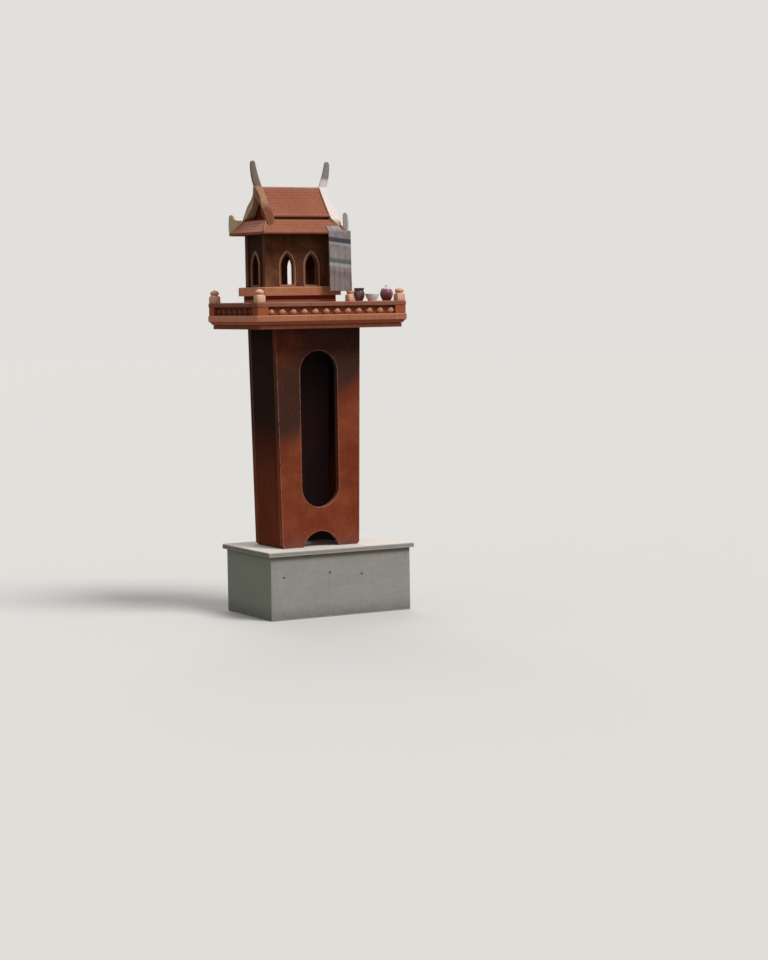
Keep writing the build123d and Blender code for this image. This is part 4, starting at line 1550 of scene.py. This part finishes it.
@dataclass
class GableEnds(RoofLines):
    """The gable boards, the horns on the ridge and the crests on the lower tier's corners.

    Attributes:
        board_drop: How far a board's inner edge lies below the slope's line.
        board_sag: How far its edges hang below a straight line.
        board_relief: How far its rims stand out.
        board_section: Its section, as shares of its depth and of the rims' relief, from the back round.
        board_steps: How many steps its outer edge has.
        inner_steps: How many steps its inner edge has above the tail.
        waist: How far its face is drawn in halfway down.
        waist_end: Where that ends, as a share of the way to the eave.
        tail_start: How far inside the eave the tail's sole starts, and past it the tail starts to thin.
        tail_heel: How far past the eave and below it the sole bends.
        tail_tip: How far the sole's end lies inside the tail's reach.
        tail_lift: How far the tail's upper edge ends above its sole.
        tail_thickness: Thickness of the tail's end.
        horn_thickness: Thickness of a horn at its foot.
        horn_lean: How far its tip leans out.
        horn_tip: Width of its tip.
        horn_foot: Width of its foot.
        horn_belly: How far its outer edge bulges, as a share of the lean.
        horn_hollow: How far its inner edge is drawn in.
        horn_steps: How many steps its edges have below the tip.
        tip_steps: How many steps a quarter of the tip has.
        horn_around: How many points its section has.
        horn_square: How square its section is, from 1 for an ellipse down to 0.
        horn_thinning: How much thinner it is at the top, as a share.
        horn_edge: How thick it stays at its very end, as a share, and how soon it thickens from there, as
            half its width.
        crest_rise: Height of a crest.
        crest_width: Width of it.
        crest_thickness: Thickness of it.
        crest_belly: How far its outer edge bulges.
        crest_heel: How far its foot reaches in from the corner.
        crest_steps: How many steps its edges have.
        hip_toe: Where its inner edge meets the hip, as distances in from the crest and levels.
        web: The same for the rear crest, whose inner edge is a web along the hip.
    """

    board_drop: float = 0.026
    board_sag: float = 0.004
    board_relief: float = 0.004
    board_section: Pairs = (
        (0.0, 0.0), (0.0, 1.0), (0.24, 1.0), (0.30, 0.0), (0.72, 0.0), (0.78, 1.0), (1.0, 1.0), (1.0, 0.0),
    )
    board_steps: int = 18
    inner_steps: int = 13
    waist: float = 0.013
    waist_end: float = 0.75
    tail_start: float = 0.018
    tail_heel: tuple[float, float] = (0.014, 0.020)
    tail_tip: float = 0.003
    tail_lift: float = 0.004
    tail_thickness: float = 0.020
    horn_thickness: float = 0.018
    horn_lean: float = 0.022
    horn_tip: float = 0.034
    horn_foot: float = 0.052
    horn_belly: float = 0.8
    horn_hollow: float = 0.003
    horn_steps: int = 16
    tip_steps: int = 9
    horn_around: int = 20
    horn_square: float = 0.7
    horn_thinning: float = 0.35
    horn_edge: tuple[float, float] = (0.35, 0.012)
    crest_rise: float = 0.111
    crest_width: float = 0.032
    crest_thickness: float = 0.016
    crest_belly: float = 0.003
    crest_heel: float = 0.010
    crest_steps: int = 10
    hip_toe: Pairs = ((0.0, 0.036), (0.010, 0.0277))
    web: Pairs = (
        (0.004, 0.088), (0.014, 0.080), (0.028, 0.077), (0.044, 0.077), (0.058, 0.075), (0.066, 0.069),
        (0.064, 0.063),
    )

    def board_edges(self, reach: float, foot: float) -> tuple[Ring, Ring]:
        """Trace a gable board's outer and inner edge, from the ridge to the end of its tail.

        Args:
            reach: How far the tail reaches from the house's middle plane.
            foot: The level of its end.

        Returns:
            Both edges, with as many points each.
        """
        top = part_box("ridge_cap")[1].z
        curve = self.slope_curve((self.ridge_half, top), (reach, foot + self.tail_lift), self.board_sag,
                                 self.board_steps)
        inner = self.slope_curve((0.0, self.ridge - self.board_drop),
                                 (self.eave_half - self.board_drop, self.eave), self.board_sag,
                                 self.inner_steps)
        heel_out, heel_drop = self.tail_heel
        toe = Vector((0, self.eave_half - self.tail_start, self.eave))
        heel = Vector((0, self.eave_half + heel_out, self.eave - heel_drop))
        tip = Vector((0, reach - self.tail_tip, foot))
        inner += [toe, toe.lerp(heel, 0.5), heel, heel.lerp(tip, 0.5), tip]
        # The outer edge stops a step short of its foot, which slants the tail's end.
        return [rise(top)] + curve[:-1], inner

    def build_board(self, end: str, side: str, along: int, across: int, finish: Finish, slot: str) -> None:
        """Build one thick gable board with a raised rim, whose tail runs on past the eave and narrows.

        Args:
            end: Which gable, for the name.
            side: Which slope, for the name.
            along: Which way the gable faces along the ridge.
            across: Which way the slope falls.
            finish: The board's paint.
            slot: The name of a material slot for it; not used.
        """
        node = f"{end}_{side}_bargeboard"
        low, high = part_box(node)
        back, face = (low.x, high.x) if along > 0 else (high.x, low.x)
        reach = max(-low.y, high.y)
        taper_from, thin = self.eave_half + self.tail_start, face - along * self.tail_thickness
        rings = []
        for top, foot in zip(*self.board_edges(reach, low.z)):
            ring = []
            for place, (share, rim) in enumerate(self.board_section):
                point = top.lerp(foot, share)
                past = max(0.0, (point.y - taper_from) / (reach - taper_from))
                bow = math.sin(math.pi * min(1.0, point.y / (self.eave_half * self.waist_end)))
                x = face - along * (self.board_relief * (1 - rim) + self.waist * bow * bow)
                if place in (0, len(self.board_section) - 1):
                    x = back + (thin - back) * past
                ring.append(Vector((x, across * point.y, point.z)))
            rings.append(ring)
        carver = Carver(f"{end}_{side}_gable_board")
        carver.skin(rings)
        carver.done([finish], [node], bevel=0.0015, crease=50)

    def horn_edges(self, height: float) -> tuple[Ring, Ring]:
        """Trace a horn's outer and inner edge, with its heel at the origin and its lean along X.

        Args:
            height: The horn's height.

        Returns:
            Both edges, with as many points each.
        """
        lean, half, foot = self.horn_lean, self.horn_tip / 2, self.horn_foot
        shoulder = height - half
        outer = arc_points(Vector(), Vector((lean * self.horn_belly, 0, shoulder / 2)),
                           Vector((lean, 0, shoulder)), self.horn_steps)
        middle = (lean - foot - self.horn_tip) / 2 + self.horn_hollow
        inner = arc_points(Vector((-foot, 0, 0)), Vector((middle, 0, shoulder / 2)),
                           Vector((lean - self.horn_tip, 0, shoulder)), self.horn_steps)
        for step in range(1, self.tip_steps):
            turn = math.pi / 2 * step / self.tip_steps
            for edge, sign in ((outer, 1), (inner, -1)):
                edge.append(Vector((lean - half + sign * half * math.cos(turn), 0,
                                    shoulder + half * math.sin(turn))))
        return outer, inner

    def build_horn(self, end: str, along: int, finish: Finish) -> None:
        """Build one ridge horn, a blade that bulges outward and ends in a blunt round tip.

        Args:
            end: Which gable, for the name.
            along: Which way the gable faces along the ridge.
            finish: The horn's paint.
        """
        node = f"{end}_horn"
        low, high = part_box(node)
        height = high.z - low.z
        heel = high.x - self.horn_lean if along > 0 else low.x + self.horn_lean

        def squared(share: float) -> float:
            """Push a sine or cosine outward, so that the section fills its corners."""
            return math.copysign(abs(share) ** self.horn_square, share)

        rings = []
        for outer, inner in zip(*self.horn_edges(height)):
            level, half = (outer.z + inner.z) / 2 / height, (outer.x - inner.x) / 2
            fullness = min(1.0, self.horn_edge[0] + half / self.horn_edge[1])
            thick = self.horn_thickness / 2 * (1 - self.horn_thinning * level) * fullness
            rings.append([
                Vector((heel + along * ((outer.x + inner.x) / 2 + half * squared(math.cos(turn))),
                        thick * squared(math.sin(turn)),
                        low.z + inner.lerp(outer, 0.5 + 0.5 * math.cos(turn)).z))
                for turn in full_turn(self.horn_around)
            ])
        carver = Carver(f"{end}_ridge_horn")
        carver.skin(rings)
        carver.done([finish], [node], crease=60)

    def build_crests(self, node: str, name: str, corners: Sequence[tuple[int, int]], finish: Finish,
                     inner: Pairs) -> None:
        """Build the crests that turn up over the corners of the lower tier.

        Args:
            node: The solid that they stand for.
            name: The piece's name.
            corners: The signs of x and y of each corner.
            finish: Their paint.
            inner: Their inner edge, as distances in from the crest and levels.
        """
        low, high = self.skirt_low, self.skirt_high
        width, top = self.crest_width, self.crest_rise
        shoulder = top - width / 2
        outer = arc_points(Vector(), Vector((self.crest_belly, 0, shoulder / 2)), rise(shoulder),
                           self.crest_steps)
        head = arc_points(rise(shoulder), Vector((-width / 2, 0, top)), Vector((-width, 0, shoulder)),
                          self.crest_steps)
        outline = [Vector((-self.crest_heel, 0, 0))] + outer + head[1:]
        outline += [Vector((-width - inward, 0, level)) for inward, level in inner]
        carver = Carver(name)
        for sign_x, sign_y in corners:
            corner = Vector((high.x if sign_x > 0 else low.x, sign_y * high.y, low.z + self.fascia))
            outward = Vector((sign_x * self.hip_run[0], sign_y * self.hip_run[1], 0)).normalized()
            depth = outward.cross(UP) * self.crest_thickness
            carver.plate([corner + outward * point.x + rise(point.z) - depth / 2 for point in outline], depth)
        carver.done([finish], [node], bevel=0.0035, crease=35, depth=3)

    def build(self) -> None:
        """Build the boards, horns and crests of both ends."""
        for end, along, finishes, slot in (("rear", -1, (Paints.CREAM_BOARD, Paints.STRAW), "cream_paint"),
                                           ("front", 1, (Paints.WHITE, Paints.WHITE), "white_paint")):
            for (side, across), finish in zip((("near", -1), ("far", 1)), finishes):
                self.build_board(end, side, along, across, finish, slot)
        self.build_horn("rear", -1, Paints.CREAM)
        self.build_horn("front", 1, Paints.GREY)
        self.build_crests("rear_finial", "rear_corner_crest", [(-1, 1)], Paints.STRAW, self.web)
        self.build_crests("front_finials", "front_corner_crests", [(1, -1), (1, 1)], Paints.GREY,
                          self.hip_toe)


@dataclass(frozen=True)
class Ruffle:
    """An uneven wandering over the cloth.

    Attributes:
        strength: How strong it is.
        across: Its cells over the width.
        down: Its cells over the fall.
        plane: Which plane of the noise it is read from.
    """

    strength: float
    across: float
    down: float
    plane: float

    def at(self, across: float, fall: float) -> float:
        """Give its value at a place, from shares of the width and of the fall."""
        return self.strength * noise.noise(Vector((across * self.across, fall * self.down, self.plane)))


@dataclass
class HungCloth:
    """The cotton sheet hung over the near eave beside the doorway, let fall by a short simulation.

    Attributes:
        flat_width: Width that the sheet was cut to.
        flat_length: Length that it was cut to.
        free_width: Width that hangs free past the roof's end.
        slope_run: How far it lies up on the slope.
        slope_cosine: Cosine of that slope's fall.
        slope_sine: Sine of it.
        eave_height: Height of the eave's edge above the roof's lowest point.
        clearance: How far it lies off the roof.
        side_gap: How far its sides stay inside the room for it.
        face_gap: How far its fall stays off the eave's face.
        columns: How many steps it has across.
        rows: How many steps it has down.
        held_rows: How many rows past the eave are held.
        fold: Depth of its folds at the hem.
        fold_top: Their depth at the eave, as a share of that.
        fold_spread: How soon they deepen, as a power of the way down.
        waves: Strength, count, start and twist of each wave across it.
        ruffle: Its uneven folds.
        drift: How its threads wander sideways.
        bend_run: How far below the eave it has bent round.
        bend_step: How far it then stands off.
        thickness: Thickness of the cotton.
        settle_frames: How many frames it falls for.
        low: Lowest corner of the room for it.
        high: Highest corner of it.
        eave: The eave's edge.
        length: How far it falls.
    """

    flat_width: float = 0.153
    flat_length: float = 0.396
    free_width: float = 0.056
    slope_run: float = 0.0464
    slope_cosine: float = 0.7838
    slope_sine: float = 0.6209
    eave_height: float = 0.014
    clearance: float = 0.0055
    side_gap: float = 0.002
    face_gap: float = 0.0042
    columns: int = 44
    rows: int = 96
    held_rows: float = 1.5
    fold: float = 0.00675
    fold_top: float = 0.18
    fold_spread: float = 0.7
    waves: tuple[tuple[float, float, float, float], ...] = ((0.60, 1.7, 0.5, 0.9), (0.25, 4.1, 2.1, -1.8))
    ruffle: Ruffle = Ruffle(0.5, 4.0, 7.0, 1.0)
    drift: Ruffle = Ruffle(0.0035, 5.0, 4.0, 3.0)
    bend_run: float = 0.014
    bend_step: float = 0.003
    thickness: float = 0.0009
    settle_frames: int = 18
    low: Vector = field(init=False)
    high: Vector = field(init=False)
    eave: Vector = field(init=False)
    length: float = field(init=False)

    def __post_init__(self) -> None:
        """Read the room for the cloth and the eave's edge from the solids."""
        self.low, self.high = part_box("hung_cloth")
        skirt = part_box("skirt_roof")[0]
        self.eave = Vector((0, skirt.y, skirt.z + self.eave_height))
        self.length = self.eave.z - self.low.z

    def finish(self) -> Cotton:
        """Give the cloth's finish.

        Returns:
            The finish, with its bands set from the hem up.
        """
        return Cotton(
            "washed_cotton", Tone(127, 117, 116), Tone(154, 144, 145), Tone(118, 107, 96),
            bands=(
                Band(0.294, 0.007, 0.7, Tone(168, 158, 160)), Band(0.172, 0.009, 0.7, Tone(172, 168, 160)),
                Band(0.118, 0.020, 0.45, Tone(112, 84, 88)), Band(0.316, 0.0125, 0.92, Tone(48, 48, 62)),
                Band(0.196, 0.0115, 0.85, Tone(84, 94, 88)),
            ),
            hem_level=self.low.z,
        )

    def start_point(self, across: float, run: float) -> Vector:
        """Place one knot of the sheet before it falls.

        Args:
            across: Place over the width, from 0 to 1.
            run: Distance down from the eave, negative on the slope.

        Returns:
            The point.
        """
        x = self.low.x + self.side_gap + (self.high.x - self.low.x - 2 * self.side_gap) * across
        down = Vector((0, -self.slope_cosine, -self.slope_sine))
        normal = Vector((0, -self.slope_sine, self.slope_cosine))
        edge = Vector((x, self.eave.y, self.eave.z)) + normal * self.clearance
        if run < 0:
            return edge + down * run
        fall = run / self.length
        depth = self.fold * (self.fold_top + (1 - self.fold_top) * fall ** self.fold_spread)
        wave = sum(strength * math.sin(2 * math.pi * count * across + start + twist * fall)
                   for strength, count, start, twist in self.waves)
        wave += self.ruffle.at(across, fall)
        aside = self.drift.at(across, fall)
        bent = min(1.0, run / self.bend_run)
        off = (self.bend_step + depth * (1 + wave)) * bent
        return Vector((x + aside * fall, edge.y - off, edge.z - run))

    def build(self) -> None:
        """Cut, hang and settle the cloth."""
        carver = Carver("hung_cotton_sheet")
        width = self.high.x - self.low.x
        held_until = (width - self.free_width) / width
        step_run = (self.slope_run + self.length) / self.rows
        mesh_rows, pinned = [], []
        for row in range(self.rows + 1):
            run = -self.slope_run + row * step_run
            line = []
            for column in range(self.columns + 1):
                across = column / self.columns
                if run < -step_run and across > held_until:
                    line.append(None)
                    continue
                line.append(carver.shape.verts.new(self.start_point(across, run)))
                if run <= step_run * self.held_rows:
                    pinned.append(line[-1])
            mesh_rows.append(line)
        for above, below in zip(mesh_rows, mesh_rows[1:]):
            for left, right, right_low, left_low in zip(above, above[1:], below[1:], below):
                if None not in (left, right, right_low, left_low):
                    carver.shape.faces.new((left, right, right_low, left_low))
        carver.shape.verts.index_update()
        held = [knot.index for knot in pinned]
        piece = carver.done([self.finish()], ["hung_cloth"], crease=180)
        self.settle(piece, held)
        solid = piece.modifiers.new("Cotton thickness", "SOLIDIFY")
        solid.thickness = self.thickness
        solid.offset = 0

    def settle(self, piece: bpy.types.Object, held: Sequence[int]) -> None:
        """Let the cloth fall under its own weight and keep the result.

        Args:
            piece: The sheet.
            held: Its points that are held on the roof.
        """
        group = piece.vertex_groups.new(name="held")
        group.add(list(held), 1.0, "REPLACE")
        cloth = piece.modifiers.new("Fall", "CLOTH")
        cloth.settings.vertex_group_mass = group.name
        cloth.settings.quality = 8
        cloth.settings.mass = 0.12
        cloth.settings.tension_stiffness = 40
        cloth.settings.compression_stiffness = 30
        cloth.settings.shear_stiffness = 10
        cloth.settings.bending_stiffness = 0.8
        cloth.settings.air_damping = 4
        cloth.point_cache.frame_end = self.settle_frames
        scene = bpy.context.scene
        for now in range(1, self.settle_frames + 1):
            scene.frame_set(now)
        settled = piece.evaluated_get(bpy.context.evaluated_depsgraph_get()).data
        places = [point.co.copy() for point in settled.vertices]
        piece.modifiers.remove(cloth)
        scene.frame_set(1)
        fixed = set(held)
        for place, point in zip(places, piece.data.vertices):
            if point.index not in fixed:
                place.y = min(place.y, self.eave.y - self.face_gap)
                point.co = place
        piece.data.update()


@dataclass(frozen=True)
class Vessel:
    """One small vessel, turned in one or two bodies that each have a finish of their own.

    Attributes:
        node: The solid that it stands for.
        slot: The name of its material slot; not used.
        finishes: The finish of each body.
        outlines: The outline of each, as shares of the vessel's radius and height, from below up and over.
        around: How many points a ring has.
        crease: Edges sharper than this many degrees stay sharp.
    """

    node: str
    slot: str
    finishes: tuple[Finish, ...]
    outlines: tuple[Pairs, ...]
    around: int = 40
    crease: float = 50.0

    def build(self) -> None:
        """Turn the vessel where its solid stands."""
        low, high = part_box(self.node)
        foot = Vector(((low.x + high.x) / 2, (low.y + high.y) / 2, low.z))
        carver = Carver(f"{self.node}_turned")
        for place, outline in enumerate(self.outlines):
            profile = [(share * (high.x - low.x) / 2, level * (high.z - low.z)) for share, level in outline]
            carver.lathe(profile, foot, self.around, place)
        carver.done(self.finishes, [self.node], crease=self.crease)


@dataclass
class Vessels:
    """The three small vessels on the terrace.

    Attributes:
        pot: The brown pot, full of sand nearly to its lip.
        dish: The white dish on its foot ring.
        jar: The red jar under its pale lid.
    """

    pot: Vessel = Vessel("incense_pot", "brown_glaze", (Paints.POT, Paints.SAND), (
        ((0.60, 0.0), (0.64, 0.03), (0.66, 0.06), (0.80, 0.18), (0.94, 0.34), (1.0, 0.50), (0.95, 0.66),
         (0.84, 0.76), (0.80, 0.80), (0.84, 0.84), (0.90, 0.90), (0.93, 0.96), (0.92, 0.99), (0.88, 1.0),
         (0.83, 0.98), (0.78, 0.92)),
        ((0.80, 0.86), (0.80, 0.925), (0.62, 0.94), (0.40, 0.955), (0.18, 0.965), (0.02, 0.968)),
    ))
    dish: Vessel = Vessel("offering_dish", "white_glaze", (Paints.DISH,), (
        ((0.50, 0.08), (0.52, 0.0), (0.58, 0.0), (0.60, 0.06), (0.62, 0.12), (0.72, 0.26), (0.84, 0.50),
         (0.94, 0.76), (0.99, 0.94), (1.0, 0.98), (0.985, 1.0), (0.95, 0.97), (0.88, 0.74), (0.76, 0.48),
         (0.60, 0.28), (0.40, 0.19), (0.20, 0.165), (0.02, 0.16)),
    ), around=48, crease=60.0)
    jar: Vessel = Vessel("offering_jar", "red_glaze", (Paints.JAR, Paints.LID), (
        ((0.62, 0.0), (0.66, 0.03), (0.70, 0.07), (0.88, 0.22), (1.0, 0.40), (0.96, 0.56), (0.82, 0.66),
         (0.76, 0.69), (0.70, 0.70), (0.02, 0.70)),
        ((0.02, 0.695), (0.80, 0.695), (0.84, 0.71), (0.82, 0.74), (0.66, 0.82), (0.40, 0.885), (0.18, 0.91),
         (0.15, 0.93), (0.19, 0.955), (0.18, 0.98), (0.10, 0.998), (0.01, 1.0)),
    ))

    def build(self) -> None:
        """Build all three."""
        for vessel in (self.pot, self.dish, self.jar):
            vessel.build()


class Lamp(Enum):
    """The studio's lamps, as azimuth, elevation, strength and spread in degrees."""

    KEY = (28.0, 52.0, 2.75, 24.0)
    BACK = (160.0, 35.0, 0.9, 40.0)


@dataclass
class Studio:
    """The camera at the photograph's place, plain soft lamps and a pale floor.

    Attributes:
        azimuth: Which side of the house the camera stands on, in degrees.
        distance: How far away it stands.
        height: How high.
        turn: How far it looks past the house's axis, in degrees.
        tilt: How far it looks up, in degrees.
        roll: How far it is rolled, in degrees.
        focal_pixels: Its focal length in pixels of the picture.
        image_height: The picture's height in pixels.
        sensor: The sensor's height in millimetres.
        sight: How far it sees.
        sky: How strong the sky's light is.
        floor_half: Half the floor's width.
    """

    azimuth: float = 27.3
    distance: float = 13.3
    height: float = 1.835
    turn: float = 1.98
    tilt: float = -4.57
    roll: float = 0.87
    focal_pixels: float = 2251.0
    image_height: float = 960.0
    sensor: float = 36.0
    sight: float = 200.0
    sky: float = 0.46
    floor_half: float = 60.0

    def build_camera(self) -> None:
        """Stand the camera where the photograph was taken from."""
        data = bpy.data.cameras.new("photo_camera")
        data.sensor_width = self.sensor
        data.lens = self.focal_pixels / self.image_height * self.sensor
        data.clip_end = self.sight
        camera = bpy.data.objects.new("photo_camera", data)
        bpy.context.scene.collection.objects.link(camera)
        around = math.radians(self.azimuth)
        camera.location = (-math.sin(around) * self.distance, -math.cos(around) * self.distance, self.height)
        heading, level = math.radians(self.azimuth + self.turn), math.radians(self.tilt)
        gaze = Vector((math.sin(heading) * math.cos(level), math.cos(heading) * math.cos(level),
                       math.sin(level)))
        facing = gaze.to_track_quat("-Z", "Y").to_matrix()
        camera.rotation_euler = (facing @ Matrix.Rotation(-math.radians(self.roll), 3, "Z")).to_euler()
        bpy.context.scene.camera = camera

    def build_lamps(self) -> None:
        """Hang the lamps."""
        for lamp in Lamp:
            azimuth, elevation, strength, spread = lamp.value
            data = bpy.data.lights.new(lamp.name.lower(), "SUN")
            data.energy = strength
            data.angle = math.radians(spread)
            made = bpy.data.objects.new(lamp.name.lower(), data)
            bpy.context.scene.collection.objects.link(made)
            side, height = math.radians(azimuth), math.radians(elevation)
            source = Vector((math.sin(side) * math.cos(height), -math.cos(side) * math.cos(height),
                             math.sin(height)))
            made.rotation_euler = source.to_track_quat("Z", "Y").to_euler()

    def build_sky(self) -> None:
        """Light the sky evenly, and show the backdrop's colour to the camera and to gloss."""
        world = bpy.data.worlds.new("studio_sky")
        bpy.context.scene.world = world
        world.use_nodes = True
        nodes, links = world.node_tree.nodes, world.node_tree.links
        nodes.clear()
        path, blend = nodes.new("ShaderNodeLightPath"), nodes.new("ShaderNodeMixShader")
        glow, seen = nodes.new("ShaderNodeBackground"), nodes.new("ShaderNodeBackground")
        either = nodes.new("ShaderNodeMath")
        either.operation = "MAXIMUM"
        glow.inputs["Color"].default_value = (1, 1, 1, 1)
        glow.inputs["Strength"].default_value = self.sky
        seen.inputs["Color"].default_value = Paints.BACKDROP.linear()
        links.new(path.outputs["Is Camera Ray"], either.inputs[0])
        links.new(path.outputs["Is Glossy Ray"], either.inputs[1])
        links.new(either.outputs[0], blend.inputs["Fac"])
        links.new(glow.outputs[0], blend.inputs[1])
        links.new(seen.outputs[0], blend.inputs[2])
        links.new(blend.outputs[0], nodes.new("ShaderNodeOutputWorld").inputs["Surface"])

    def build_floor(self) -> None:
        """Lay the pale floor."""
        half = self.floor_half
        corners = [(-half, -half, 0), (half, -half, 0), (half, half, 0), (-half, half, 0)]
        mesh = bpy.data.meshes.new("studio_floor")
        mesh.from_pydata(corners, [], [(0, 1, 2, 3)])
        mesh.materials.append(Paints.STUDIO.material())
        floor = bpy.data.objects.new("studio_floor", mesh)
        bpy.context.scene.collection.objects.link(floor)

    def build(self) -> None:
        """Set up the whole studio."""
        bpy.context.scene.view_settings.view_transform = "Standard"
        self.build_camera()
        self.build_lamps()
        self.build_sky()
        self.build_floor()


def main() -> None:
    """Build the studio and dress the house, from the ground up."""
    logging.basicConfig(level=logging.INFO, format="%(levelname)s %(message)s")
    for part in (Studio(), Castings(), LotusCourse(), PointedFrames(), RoofTiles(), GableEnds(), HungCloth(),
                 Vessels()):
        part.build()


if __name__ == "__main__":
    main()
